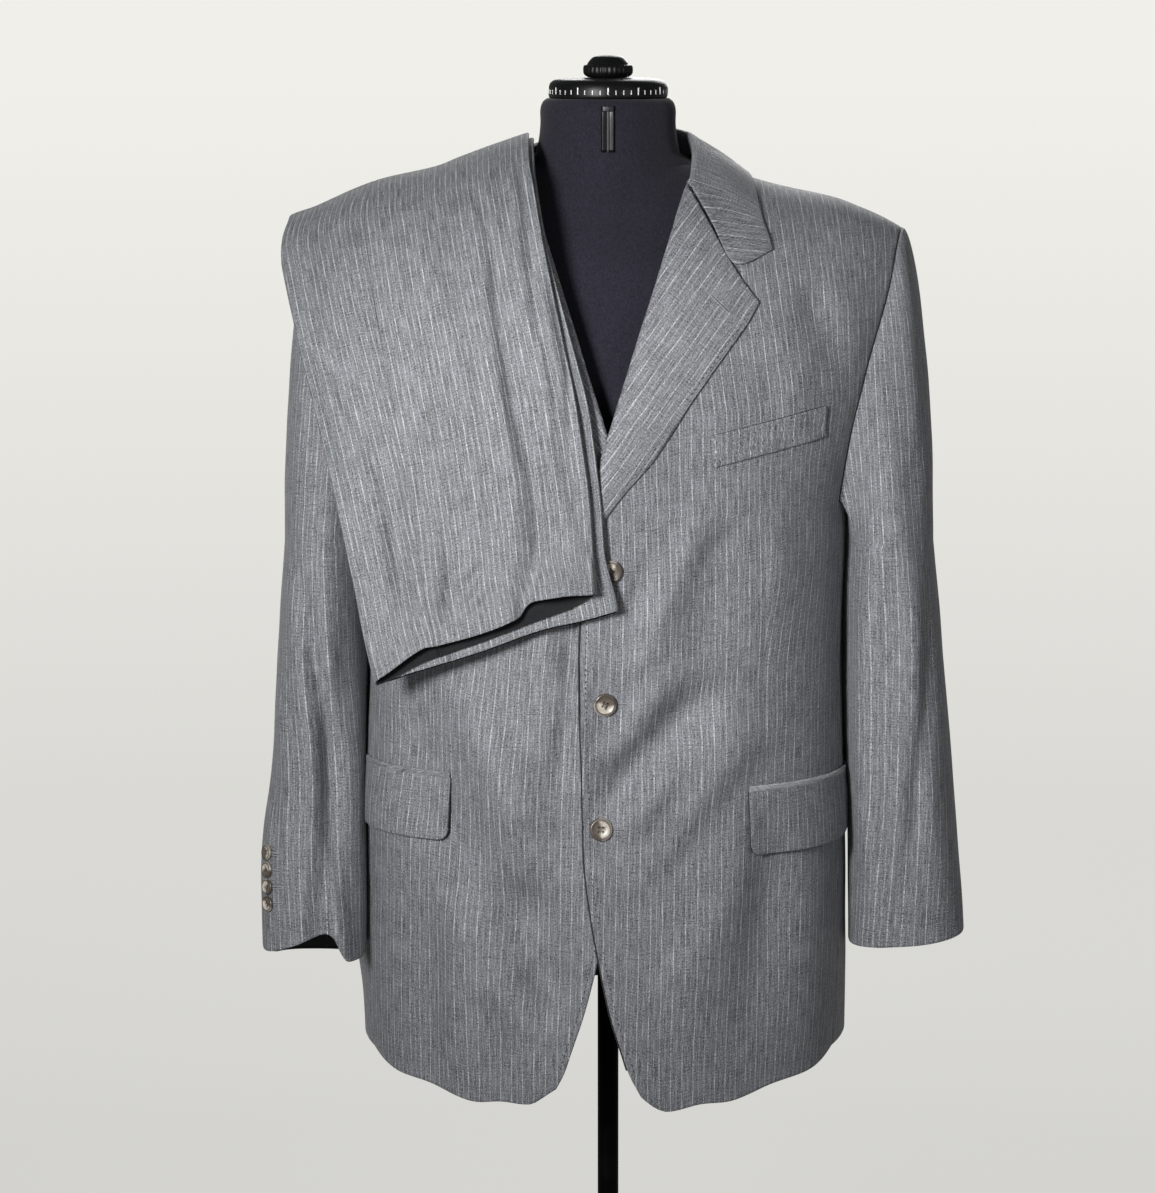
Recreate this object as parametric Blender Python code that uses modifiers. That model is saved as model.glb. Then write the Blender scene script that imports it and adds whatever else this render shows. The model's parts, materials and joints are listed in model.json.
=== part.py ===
"""A two-piece suit on its dress form, in metres.

The jacket is buttoned on the form. The trousers are folded leg on leg and lie over the
wearer's right shoulder, hems in front. +Z is up, the jacket faces -Y and the wearer's left
is +X. The origin is the centre of the stand's underside. Angles run round the body: 0 is
the centre front, 90 the wearer's left side, -90 the right side and 180 the centre back.
"""
import math

import bmesh
import bpy
from mathutils import Matrix, Vector

# Cloth
WALL = 0.0020                   # jacket: cloth and lining
TROUSER_WALL = 0.0015
SEAM = 0.0003                   # gap between pieces that are sewn together
LAP = 0.0027                    # how far the left front lies over the right one

# Jacket body: height of the underarm, and how square the shoulder is seen from the side
ARM_Z = 1.170
SHOULDER_POWER = 2.3
# height, centre x, half width, front depth, back depth, roundness of the section
BODY_SECTIONS = (
    (0.600, -0.0035, 0.2245, 0.166, 0.156, 2.35),
    (0.750, -0.0035, 0.2245, 0.163, 0.153, 2.35),
    (0.900, -0.0030, 0.2235, 0.160, 0.149, 2.35),
    (1.000, -0.0020, 0.2205, 0.158, 0.141, 2.30),
    (1.080, -0.0010, 0.2190, 0.157, 0.139, 2.30),
    (1.170, 0.0000, 0.2190, 0.155, 0.149, 2.30),
)
# share of the way from underarm to shoulder line, half width
UPPER_WIDTH = ((0.0, 0.219), (0.125, 0.238), (0.25, 0.256), (0.5, 0.278), (0.75, 0.296), (1.0, 0.305))
# distance from the middle, height of the shoulder line
SHOULDER_LINE = (
    (0.000, 1.4900), (0.086, 1.4745), (0.122, 1.4620), (0.156, 1.4525), (0.206, 1.4415),
    (0.2315, 1.4320), (0.2516, 1.4230), (0.268, 1.4135), (0.300, 1.3900),
)
# share of the way up, how far out the armhole's edge lies in front and behind
ARMHOLE = (
    (0.0, 0.2095, 0.2100), (0.125, 0.2185, 0.2190), (0.25, 0.2298, 0.2290),
    (0.5, 0.2508, 0.2480), (0.75, 0.2605, 0.2590), (1.0, 0.2680, 0.2680),
)
SIDE_SEAM = 72.3                # angle of the seam between front and side panel
BACK_SEAM = 116.0               # angle of the seam between side panel and back
# angle, width in degrees, height, spread, how far the cloth swings out: the largest folds
SWINGS = (
    (-100.0, 20.0, 0.775, 0.055, 0.014),
    (104.0, 16.0, 0.700, 0.080, 0.005),
    (40.0, 16.0, 0.640, 0.060, -0.004),
    (-38.0, 16.0, 0.640, 0.060, -0.004),
    (160.0, 11.0, 0.720, 0.140, 0.004),
    (-158.0, 12.0, 0.720, 0.140, 0.005),
)
# height, x of the line that the buttons stand on
CENTRE_LINE = ((0.600, -0.0105), (0.700, -0.0100), (0.770, -0.0085), (0.890, -0.0062),
               (1.003, -0.0027), (1.122, 0.0026), (1.220, 0.0), (1.500, 0.0))
# height, distance of a front's edge from that line, away from the other front
FRONT_EDGE = (
    (0.645, 0.0400), (0.665, 0.0295), (0.683, 0.0235), (0.720, 0.0118), (0.7666, 0.0010),
    (0.8067, -0.0068), (0.853, -0.0135), (0.898, -0.0160), (0.957, -0.0190), (1.0056, -0.0225),
    (1.0655, -0.0250), (1.096, -0.0235), (1.131, -0.0185), (1.162, -0.0110), (1.1845, -0.0092),
    (1.2206, -0.0036), (1.2564, 0.0084), (1.304, 0.0227), (1.3487, 0.0372), (1.4023, 0.0543),
    (1.435, 0.0642), (1.4521, 0.0706), (1.466, 0.0765), (1.4745, 0.0840),
)
CORNER_Z = 0.645                # where a front's edge turns into the hem
BREAK_Z = 1.164                 # where the lapel starts to turn over
GORGE_Z = 1.4521                # where lapel and collar meet on the fold
# share of the way from the front corner to the side seam, height of the hem
FRONT_HEM = ((0.0, 0.645), (0.032, 0.6365), (0.08, 0.630), (0.2, 0.6345), (0.336, 0.6345),
             (0.533, 0.6445), (0.777, 0.6505), (1.0, 0.6625))
# angle, height of the hem behind the side seam
BACK_HEM = ((72.3, 0.6625), (90.0, 0.6655), (116.0, 0.668), (180.0, 0.672))
NECK_SIDE = 0.084               # neck seam: half width at the shoulder line
NECK_BACK = 0.074               # and its depth behind it

# Lapel outline: x, height of the outer edge from the break up to the tip, then the notch
LAPEL_EDGE = ((1.1640, -0.0050), (1.1868, 0.0105), (1.2169, 0.0373), (1.2702, 0.0733),
              (1.3099, 0.1023), (1.3497, 0.1317))
LAPEL_TIP = (0.1325, 1.3545)
NOTCH = (0.1102, 1.3828)
COLLAR_TIP = (0.1440, 1.3950)

# Collar, centre back to front: fold line x, y, height; height of the stand; outer edge x, y sign, height
COLLAR = (
    (0.0000, 0.0740, 1.5030, 0.0385, 0.0000, 1, 1.4540),
    (0.0290, 0.0690, 1.5030, 0.0375, 0.0340, 1, 1.4530),
    (0.0550, 0.0525, 1.5020, 0.0310, 0.0700, 1, 1.4520),
    (0.0690, 0.0310, 1.4995, 0.0260, 0.1010, 1, 1.4515),
    (0.0735, 0.0140, 1.4985, 0.0220, 0.1160, 1, 1.4580),
    (0.0755, 0.0000, 1.4960, 0.0190, 0.1235, 1, 1.4629),
    (0.0770, -0.0130, 1.4920, 0.0160, 0.1275, -1, 1.4605),
    (0.0775, -0.0270, 1.4860, 0.0125, 0.1300, -1, 1.4550),
    (0.0765, -0.0480, 1.4740, 0.0080, 0.1330, -1, 1.4400),
    (0.0745, -0.0640, 1.4620, 0.0050, 0.1380, -1, 1.4200),
)

PRESSED = 0.0125                # how far the trousers press the collar's right side down
COLLAR_SEAT = 0.0026            # the middle of the collar's wall lies at least this far above the body

# Sleeves: height, outer x, inner x, centre y, half depth, roundness, turn in degrees
SLEEVE_LEFT = (
    (1.130, 0.2986, 0.2245, -0.002, 0.082, 2.2, 0.0),
    (1.040, 0.3077, 0.2250, -0.008, 0.078, 2.2, 0.0),
    (0.900, 0.3200, 0.2278, -0.020, 0.066, 2.2, 0.0),
    (0.840, 0.3250, 0.2300, -0.026, 0.058, 2.2, 0.0),
    (0.763, 0.3300, 0.2322, -0.034, 0.049, 2.2, 0.0),
)
SLEEVE_RIGHT = (
    (1.130, 0.2965, 0.2250, -0.004, 0.081, 2.2, 0.0),
    (1.040, 0.3030, 0.2272, -0.016, 0.072, 2.3, 30.0),
    (0.930, 0.3086, 0.2310, -0.036, 0.056, 2.4, 75.0),
    (0.850, 0.3178, 0.2320, -0.054, 0.047, 2.6, 98.0),
    (0.762, 0.3172, 0.2290, -0.066, 0.044, 2.7, 101.0),
)
SLEEVE_SEAMS = (0.395, 0.715)   # shares of the way round: front seam, hind seam
SLEEVE_STEPS = (0.0, 0.06, 0.16, 0.32, 0.52, 0.76)  # rows from the armhole to the first level
SLEEVE_LEVELS = (1.130, 1.085, 1.040, 0.985, 0.930, 0.890, 0.850, 0.805, 0.763)
# share of the way round, how far the head runs out before it drops
SLEEVE_HEAD = ((0.0, 0.012), (0.2, 0.020), (0.4, 0.006), (0.5, 0.001), (0.6, 0.006),
               (0.8, 0.020), (1.0, 0.012))
CUFF_RISE_OUT = 0.006           # the cuff's outer side hangs this much higher than its inner side
CUFF_RISE_FRONT = 0.007         # and the right cuff's front this much higher than its back

# Pockets, on the fronts: distance from the middle and height of each corner
WELT = ((0.0925, 1.2123), (0.1930, 1.2351), (0.1927, 1.2621), (0.0905, 1.2397))
TRIM_WALL = 0.0016
# side, angles of front and rear end, height of the flap's top, depth of the flap
FLAPS = ((1, 31.6, 86.5, 0.9195, 0.0575), (-1, 35.6, 86.5, 0.9300, 0.0560))
FLAP_CORNER = 0.014
JET = 0.0042

# Buttons: heights of the front's three, and the cuffs' fours
BUTTON_HEIGHTS = (1.1217, 1.0029, 0.8903)
BUTTON = (0.0103, 0.0034)       # radius, thickness
CUFF_BUTTON = (0.0073, 0.0028)
CUFF_BUTTON_IN = {1: 0.045, -1: 0.085}  # share of the way round, from the hind seam
CUFF_BUTTON_TOP = 0.857
CUFF_BUTTON_STEP = 0.0152
CUFF_SEAT = {1: 0.0003, -1: -0.0005}   # base of a cuff button above the sleeve's rounded outline

# Trousers: bed that they lie on
BED_WIDTH = 0.37
BED_POWER = 2.5
BED_SIDE_POWER = 2.2
BED_DEPTH = {-1: 0.168, 1: 0.160}
# distance from the middle, height of the bed over the shoulder
BED_LINE = (
    (0.060, 1.4925), (0.075, 1.4885), (0.1105, 1.4760), (0.135, 1.4660), (0.156, 1.4565),
    (0.206, 1.4435), (0.2315, 1.4345), (0.2516, 1.4255), (0.268, 1.4180), (0.285, 1.4120),
    (0.300, 1.4040), (0.330, 1.3850),
)
BED_LOW = (1.13, 0.33, -0.14)   # height where the bed turns straight down, its slope, at this x
# in front: level (1 on the shoulder, 0 at the low line, then metres below), left edge, right edge
LEG_FRONT = (
    (-0.088, -0.2060, -0.0090), (-0.035, -0.2170, -0.0125), (0.03, -0.2270, -0.0160),
    (0.182, -0.2446, -0.0280), (0.30, -0.2580, -0.0395), (0.486, -0.2770, -0.0558),
    (0.713, -0.2920, -0.0682), (0.80, -0.2930, -0.0700), (0.90, -0.2900, -0.0710),
    (1.00, -0.2900, -0.0715),
)
# behind
LEG_BACK = (
    (-0.300, -0.2980, 0.2150), (-0.250, -0.3000, 0.1900), (-0.150, -0.3000, 0.1400),
    (-0.080, -0.3000, 0.1000), (0.00, -0.2950, 0.0550), (0.10, -0.2900, 0.0250),
    (0.24, -0.2850, -0.0250), (0.42, -0.2870, -0.0620), (0.60, -0.2890, -0.0900),
    (0.76, -0.2900, -0.0970), (0.90, -0.2900, -0.0860), (1.00, -0.2900, -0.0715),
)
# rows down the front and the back of the trousers, from hem to waist seam
FRONT_LEVELS = (-0.088, -0.055, -0.010, 0.08, 0.19, 0.32, 0.46, 0.61, 0.76, 0.90)
BACK_LEVELS = (1.0, 0.90, 0.76, 0.60, 0.42, 0.24, 0.10, 0.05, 0.01, -0.03, -0.12, -0.262)
CROTCH_LEVEL = 0.10             # behind: below it the two legs join
SEAT_LEVEL = -0.03              # behind: below it they are one
WAIST_SEAM = -0.2623
WAIST_EDGE = -0.3000
LEG_THICKNESS = 0.0042          # one flattened leg
LEG_GAP = 0.0009                # between trousers and bed
LEGS_APART = 0.0014             # between the two legs
HEM_OPEN = (0.0030, 0.0065)     # extra room at the under and the upper leg's hem
HEM_DROP = 0.006                # how much lower a hem's inner layer hangs
HEM_RISE = 0.15                 # share by which the hem is higher at its right end
UNDER_LEG = (0.0045, 0.0135)    # how far the under leg shows: less on the left, more on the right
# level, share of the width where the side seam and the inseam run
SIDE_LINE = ((-0.1, 0.28, 0.30), (0.3, 0.31, 0.33), (1.0, 0.36, 0.38))
SIDE_LINE_BACK = ((-0.3, 0.48, 0.48), (0.1, 0.42, 0.42), (1.0, 0.36, 0.38))
WAIST_OPEN = 0.012              # extra room at the waist
HIP_TURN = 84                   # degrees that a half goes round the fold where the legs have joined

# Dress form
FORM_FIT = 0.86                 # depth against the jacket's
FORM_CLEAR = 0.0037             # shoulder line below the jacket's: its wall and a little air
FORM_SIDE_POWER = 2.0           # roundness of its shoulders seen from the side
# height, half width, depth against the jacket's
FORM_SECTIONS = (
    (0.800, 0.142, 0.67), (0.804, 0.157, 0.73), (0.822, 0.170, 0.79), (0.880, 0.175, 0.82),
    (0.955, 0.169, 0.80), (1.030, 0.162, 0.78), (1.100, 0.167, 0.80), (1.170, 0.181, 0.84),
    (1.260, 0.192, 0.86), (1.350, 0.200, 0.86), (1.410, 0.2055, 0.86), (1.430, 0.2050, 0.86),
    (1.4395, 0.1955, 0.86),
)
FORM_SHOULDER = (0.176, 0.152, 0.128, 0.106, 0.091, 0.0835)     # half widths on the way up to the neck
# height, half width and half depth of the neck
FORM_NECK = ((1.430, 0.0780, 0.0600), (1.455, 0.0735, 0.0605), (1.4735, 0.0690, 0.0600),
             (1.481, 0.0657, 0.0602), (1.492, 0.0630, 0.0606), (1.508, 0.0613, 0.0613),
             (1.521, 0.0613, 0.0613), (1.5275, 0.0590, 0.0590), (1.5305, 0.0555, 0.0555))
FORM_SEGMENTS = 22
SLOT_WIDTH = 0.0105             # the dark channel down the neck's front
SLOT_HEIGHTS = (1.486, 1.496, 1.508, 1.518)
LATCH = (0.0096, 0.0030, 0.0048)
LATCH_CENTRE = (0.0, -0.0635, 1.5225)
# radius, height: the dial plate, its cap and the knob on top, each from the outside top down
DIAL = ((0.0330, 1.5490), (0.0480, 1.5475), (0.0525, 1.5445), (0.0538, 1.5400), (0.0540, 1.5330),
        (0.0530, 1.5308))
KNOB = ((0.0070, 1.5690), (0.0140, 1.5675), (0.0182, 1.5625), (0.0190, 1.5605), (0.0224, 1.5600),
        (0.0226, 1.5535), (0.0210, 1.5510), (0.0180, 1.5493))
POLE = (0.0098, 0.7996)         # radius, head
BASE = ((0.1600, 0.0140), (0.1900, 0.0110), (0.1975, 0.0070), (0.1990, 0.0030), (0.1975, 0.0000))
HUB = ((0.0170, 0.0700), (0.0205, 0.0660), (0.0220, 0.0400), (0.0300, 0.0230), (0.0300, 0.01433))


# ---- tables, sections and meshes

def smooth(table, at, column=1):
    """A column of a table at any value of its first column, as one smooth curve."""
    keys = [row[0] for row in table]
    values = [row[column] for row in table]
    if at <= keys[0]:
        return values[0]
    if at >= keys[-1]:
        return values[-1]
    i = max(k for k in range(len(keys) - 1) if keys[k] <= at)

    def slope(k):
        low, high = max(k - 1, 0), min(k + 1, len(keys) - 1)
        return (values[high] - values[low]) / (keys[high] - keys[low])

    step = keys[i + 1] - keys[i]
    u = (at - keys[i]) / step
    return ((2*u**3 - 3*u*u + 1) * values[i] + (u**3 - 2*u*u + u) * slope(i) * step
            + (3*u*u - 2*u**3) * values[i + 1] + (u**3 - u*u) * slope(i + 1) * step)


def mix(a, b, share):
    return a + (b - a) * share


def ease(low, high, at):
    """0 up to low, 1 from high on, and a soft step between."""
    u = min(max((at - low) / (high - low), 0.0), 1.0)
    return u * u * (3 - 2 * u)


def power_of(value, exponent):
    return math.copysign(abs(value) ** exponent, value)


def rounded(share, power):
    """Height of a superellipse quarter at a share of its width."""
    return (1 - min(abs(share), 1.0) ** power) ** (1 / power)


def add(name, points, edges, faces, place):
    """A new object; place is its collection and its material."""
    collection, stuff = place
    mesh = bpy.data.meshes.new(name)
    mesh.from_pydata(points, edges, faces)
    mesh.update()
    mesh.materials.append(stuff)
    mesh.shade_smooth()
    obj = bpy.data.objects.new(name, mesh)
    collection.objects.link(obj)
    return obj


def add_mesh(name, shape, place):
    """A new object from a bmesh, which it uses up."""
    obj = add(name, [], [], [], place)
    shape.to_mesh(obj.data)
    shape.free()
    return obj


def sheet(name, rows, wall, place, outward, offset=-1.0):
    """A cloth panel: a grid of points, thickened by Solidify away from its outer side.

    outward is a direction that the outer side faces in the middle row, and the column where.
    """
    across = len(rows[0])
    points = [point for row in rows for point in row]
    faces = [(r * across + c, r * across + c + 1, (r + 1) * across + c + 1, (r + 1) * across + c)
             for r in range(len(rows) - 1) for c in range(across - 1)]
    middle = faces[(len(rows) - 1) // 2 * (across - 1) + outward[1]]
    a, b, c, d = (Vector(points[k]) for k in middle)
    if (c - a).cross(d - b).dot(Vector(outward[0])) < 0:
        faces = [face[::-1] for face in faces]
    obj = add(name, points, [], faces, place)
    solid = obj.modifiers.new("Wall", "SOLIDIFY")
    solid.thickness = wall
    solid.offset = offset
    return obj


def turned(name, profile, place, segments):
    """A solid of revolution about Z from (radius, height) pairs, top to bottom."""
    outline = [(0.0, profile[0][1])] + list(profile) + [(0.0, profile[-1][1])]
    edges = [(k, k + 1) for k in range(len(outline) - 1)]
    obj = add(name, [(r, 0.0, z) for r, z in outline], edges, [], place)
    screw = obj.modifiers.new("Turn", "SCREW")
    screw.axis = "Z"
    screw.steps = screw.render_steps = segments
    screw.use_merge_vertices = True
    screw.merge_threshold = 0.00005
    screw.use_smooth_shade = True
    return obj


def material(name, colour, roughness, metallic=0.0):
    made = bpy.data.materials.new(name)
    made.use_nodes = True
    shader = made.node_tree.nodes["Principled BSDF"]
    shader.inputs["Base Color"].default_value = (*colour, 1.0)
    shader.inputs["Roughness"].default_value = roughness
    shader.inputs["Metallic"].default_value = metallic
    return made


# ---- the jacket's surface

def shoulder_line(x):
    return smooth(SHOULDER_LINE, abs(x))


def body(angle, level, out=0.0):
    """A place on the jacket's outer side: level is metres below the underarm when negative,
    and the share of the turn up to the shoulder line when positive."""
    z = ARM_Z + min(level, 0.0)
    centre, width, front, back, power = (smooth(BODY_SECTIONS, z, k) for k in range(1, 6))
    if level > 0:
        width = smooth(UPPER_WIDTH, level)
    s, c = math.sin(math.radians(angle)), math.cos(math.radians(angle))
    swing = sum(depth * math.exp(-((angle - at) / spread)**2 - ((z - height) / tall)**2)
                for at, spread, height, tall, depth in SWINGS)
    x = (width + swing) * power_of(s, 2 / power)
    y = -((front if c > 0 else back) + swing) * power_of(c, 2 / power)
    if level > 0:
        rise = math.radians(90 * min(level, 1.0))
        z = ARM_Z + (shoulder_line(x) - ARM_Z) * math.sin(rise) ** (2 / SHOULDER_POWER)
        y *= max(math.cos(rise), 0.0) ** (2 / SHOULDER_POWER)
    point = Vector((centre + x, y, z))
    if out:
        point += body_normal(angle, level) * out
    return point


def body_normal(angle, level):
    step = 0.01
    low = min(level, 0.995) - step
    along = body(angle + 0.2, level) - body(angle - 0.2, level)
    up = body(angle, low + 2 * step) - body(angle, low)
    return along.cross(up).normalized()


def angle_at(x, level, behind=False):
    """Angle of the place x across the body at that level."""
    z = ARM_Z + min(level, 0.0)
    width = smooth(UPPER_WIDTH, level) if level > 0 else smooth(BODY_SECTIONS, z, 2)
    share = (x - smooth(BODY_SECTIONS, z, 1)) / width
    power = smooth(BODY_SECTIONS, z, 5)
    angle = math.degrees(math.asin(min(abs(share), 1.0) ** (power / 2)))
    return math.copysign(180 - angle if behind else angle, share)


def level_at(x, z):
    if z <= ARM_Z:
        return z - ARM_Z
    share = min((z - ARM_Z) / (shoulder_line(x) - ARM_Z), 1.0)
    return math.degrees(math.asin(share ** (SHOULDER_POWER / 2))) / 90


def on_body(x, z, out=0.0, behind=False):
    level = level_at(x, z)
    return body(angle_at(x, level, behind), level, out)


def front_x(side, z):
    """x of a front's edge, and above the break of its roll line."""
    return smooth(CENTRE_LINE, z) + side * smooth(FRONT_EDGE, z)


def lift(side, x, z):
    """How far the left front stands out over the right one."""
    if side < 0:
        return 0.0
    lap = LAP * (1 - ease(0.030, 0.066, x - smooth(CENTRE_LINE, z))) * (1 - ease(1.24, 1.32, z))
    roll = 0.0056 * math.exp(-((z - 1.197) / 0.068)**2 - (x / 0.042)**2)
    return lap + roll


def on_front(side, x, z, out=0.0):
    """A place on one front: x is measured from the middle towards that front's own side."""
    return on_body(side * x, z, out + lift(side, side * x, z))


# ---- the jacket's pieces

LOWER_SHARES = (0.0, 0.06, 0.16, 0.28, 0.40, 0.52, 0.64, 0.75, 0.86, 0.94)
UPPER_LEVELS = (0.0, 0.07, 0.16, 0.27, 0.38, 0.50, 0.62, 0.74, 0.86, 0.97, 1.0)
RIDGE_GAP = SEAM / 2


def front_panel(side, place):
    columns = (0.0, 0.03, 0.08, 0.17, 0.30, 0.44, 0.58, 0.72, 0.86, 0.98, 1.0)
    seam = SIDE_SEAM - 0.04
    rows = []
    corner_x = front_x(side, CORNER_Z)
    corner = angle_at(corner_x, CORNER_Z - ARM_Z)
    for share in LOWER_SHARES:
        row = []
        for column in columns:
            z = mix(smooth(FRONT_HEM, column), ARM_Z, share)
            edge = angle_at(front_x(side, max(z, CORNER_Z)), z - ARM_Z)
            if z < CORNER_Z:
                edge = corner
            angle = mix(edge, side * seam, column)
            point = body(angle, z - ARM_Z)
            row.append(body(angle, z - ARM_Z, lift(side, point.x, z)))
        rows.append(row)
    for level in UPPER_LEVELS:
        x = 0.03 * side
        for _ in range(12):
            x = front_x(side, body(angle_at(x, level), level).z)
        if level >= 0.97:
            x = side * NECK_SIDE
        inner = angle_at(x, level)
        outer = side * min(abs(angle_at(side * smooth(ARMHOLE, level), level)), seam)
        row = []
        for column in columns:
            angle = mix(inner, outer, column)
            point = body(angle, level)
            place_out = body(angle, level, lift(side, point.x, point.z))
            if level == 1.0:
                place_out.y = -RIDGE_GAP
            row.append(place_out)
        rows.append(row)
    name = "jacket_front_left" if side > 0 else "jacket_front_right"
    return sheet(name, rows, WALL, place, ((0, -1, 0), 4))


def side_panel(side, place):
    columns = (0.0, 0.03, 0.27, 0.5, 0.73, 0.97, 1.0)
    rows = []
    for share in LOWER_SHARES + (0.985, 1.0):
        row = []
        for column in columns:
            angle = mix(SIDE_SEAM + 0.04, BACK_SEAM - 0.04, column)
            z = mix(smooth(BACK_HEM, angle), ARM_Z, share)
            row.append(body(side * angle, z - ARM_Z))
        rows.append(row)
    name = "jacket_side_left" if side > 0 else "jacket_side_right"
    return sheet(name, rows, WALL, place, ((side, 0, 0), 2))


def back_top_level(x):
    """Level where the back ends: on the shoulder line, or at the neck seam."""
    if abs(x) >= NECK_SIDE:
        return 1.0
    depth = NECK_BACK * math.sqrt(1 - (x / NECK_SIDE)**2)
    low, high = 0.4, 1.0
    for _ in range(30):
        middle = (low + high) / 2
        if body(angle_at(x, middle, behind=True), middle).y > depth:
            low = middle
        else:
            high = middle
    return low


def back_panel(side, place):
    centre = 179.93
    seam = BACK_SEAM + 0.04
    tip = angle_at(smooth(ARMHOLE, 1.0, 2), 1.0, True)
    neck = (centre - angle_at(NECK_SIDE, 1.0, True)) / (centre - tip)   # this column ends at the neck point
    columns = (0.0, 0.02, 0.4 * neck, 0.76 * neck, neck, mix(neck, 1, 0.2), mix(neck, 1, 0.42),
               mix(neck, 1, 0.66), mix(neck, 1, 0.86), 0.985, 1.0)
    rows = []
    for share in LOWER_SHARES:
        row = []
        for column in columns:
            angle = mix(centre, seam, column)
            z = mix(smooth(BACK_HEM, angle), ARM_Z, share)
            row.append(body(side * angle, z - ARM_Z))
        rows.append(row)
    tops = [back_top_level(body(mix(centre, tip, column), 1.0).x + 1e-6) for column in columns]
    for share in UPPER_LEVELS:
        row = []
        for column, top in zip(columns, tops):
            level = share * top
            outer = max(abs(angle_at(side * smooth(ARMHOLE, level, 2), level, True)), seam)
            point = body(side * mix(centre, outer, column), level)
            if share == 1.0 and top == 1.0:
                point.y = RIDGE_GAP
            row.append(point)
        rows.append(row)
    name = "jacket_back_left" if side > 0 else "jacket_back_right"
    return sheet(name, rows, WALL, place, ((0, 1, 0), 4))


# A turned-over edge: distance beyond the fold and height above the panel of its round nose
NOSE = ((0.0018, -0.0018), (0.0026, -0.0002), (0.0019, 0.0016), (0.0002, 0.0026))
# share of the lapel's width, height of the wall's middle above the front: left, right
LAPEL_LOFT = ((0.0, 0.0030, 0.0026), (0.3, 0.0042, 0.0026), (0.6, 0.0034, 0.0025), (1.0, 0.0022, 0.0022))


def lapel(side, place):
    shares = (0.0, 0.06, 0.16, 0.28, 0.42, 0.56, 0.70, 0.83, 0.93, 1.0)
    columns = (0.06, 0.25, 0.5, 0.75, 1.0)
    rows = []
    for share in shares:
        z = mix(BREAK_Z, GORGE_Z, share)
        fold = Vector((side * front_x(side, z), z))
        edge_z = mix(LAPEL_EDGE[0][0], LAPEL_EDGE[-1][0], share)
        edge = Vector((smooth(LAPEL_EDGE, edge_z), edge_z))
        if share == 1.0:
            edge = Vector(LAPEL_TIP)
        if share == 0.0:
            edge = fold + Vector((0.0045, 0.001))
        across = (edge - fold).normalized()
        row = [on_front(side, *(fold - across * beyond), out) for beyond, out in NOSE]
        for column in columns:
            flat = fold.lerp(edge, column)
            if share == 1.0:
                flat = bent(fold, Vector(NOTCH), edge, column)
            row.append(on_front(side, *flat, smooth(LAPEL_LOFT, column, 1 if side > 0 else 2)))
        rows.append(row)
    name = "lapel_left" if side > 0 else "lapel_right"
    return sheet(name, rows, WALL, place, ((0, -1, 0), 6), 0.0)


def clear_of_body(point, out):
    """The point, moved out where it lies less than out above the jacket."""
    behind = point.y > 0
    height = shoulder_line(point.x) - ARM_Z
    up = max(point.z - ARM_Z, 0.0) / height
    level = min(up, 0.9)
    for _ in range(4):
        wide = rounded(point.x / smooth(UPPER_WIDTH, level), smooth(BODY_SECTIONS, ARM_Z, 5))
        deep = smooth(BODY_SECTIONS, ARM_Z, 4 if behind else 3) * wide
        level = math.atan2(up ** (SHOULDER_POWER / 2), (abs(point.y) / deep) ** (SHOULDER_POWER / 2))
        level = min(level / (math.pi / 2), 0.999)
    angle = angle_at(point.x, level, behind)
    normal = body_normal(angle, level)
    above = (point - body(angle, level)).dot(normal)
    return point + normal * max(out - above, 0.0)


def bent(start, corner, end, share):
    """A place on the two straight lines start to corner to end."""
    first, second = (corner - start).length, (end - corner).length
    along = share * (first + second)
    if along < first:
        return start.lerp(corner, along / first)
    return corner.lerp(end, (along - first) / second)


def collar_row(station, side):
    """One section across the collar: stand, fold and fall."""
    fold_x, fold_y, fold_z, stand, edge_x, edge_side, edge_z = station
    press = 0.0
    if side < 0:
        press = PRESSED * ease(0.020, 0.068, fold_x) * ease(-0.085, -0.050, fold_y)
    fold = Vector((fold_x, fold_y, fold_z - press))
    behind = edge_side > 0
    edge = on_body(side * edge_x, edge_z, COLLAR_SEAT, behind)
    edge.x *= side
    outward = Vector((edge.x - fold.x, edge.y - fold.y, 0.0)).normalized()
    lean = 0.0035 if fold_x > 0.03 else 0.0010      # the stand spreads towards its foot
    foot = Vector((fold.x, fold.y, fold.z - max(stand - press, 0.0035))) + outward * lean
    row = [foot, foot.lerp(fold, 0.6), fold - outward * 0.0014 - Vector((0, 0, 0.0016)), fold,
           fold + outward * 0.0026 - Vector((0, 0, 0.0008))]
    start = row[-1]
    for share in (0.3, 0.6, 1.0):
        point = start.lerp(edge, share)
        point.z += 0.0025 * math.sin(math.pi * share)
        row.append(clear_of_body(point, COLLAR_SEAT))
    row[:5] = [clear_of_body(point, COLLAR_SEAT) for point in row[:5]]
    return [Vector((side * p.x, p.y, p.z)) for p in row]


def collar(place):
    rows = []
    for side in (-1, 1):
        half = [collar_row(station, side) for station in COLLAR]
        gorge = Vector((front_x(1, GORGE_Z), GORGE_Z))
        notch, tip = Vector(NOTCH), Vector(COLLAR_TIP)
        clear = Vector((0.0012, 0.0040))
        nose = [on_front(side, *(gorge + clear - Vector((beyond * 0.9, 0))), out)
                for beyond, out in NOSE]
        end = [on_front(side, *(bent(gorge, notch, tip, share) + clear), smooth(LAPEL_LOFT, share))
               for share in (0.10, 0.33, 0.68, 1.0)]
        last = nose + end
        half.append([clear_of_body(a.lerp(b, 0.5), COLLAR_SEAT + 0.0006) for a, b in zip(half[-1], last)])
        half.append(last)
        rows = rows + half[:0:-1] + [half[0]] if side < 0 else rows + half[1:]
    return sheet("collar", rows, WALL, place, ((0, 1, 0.2), 6), 0.0)


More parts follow.
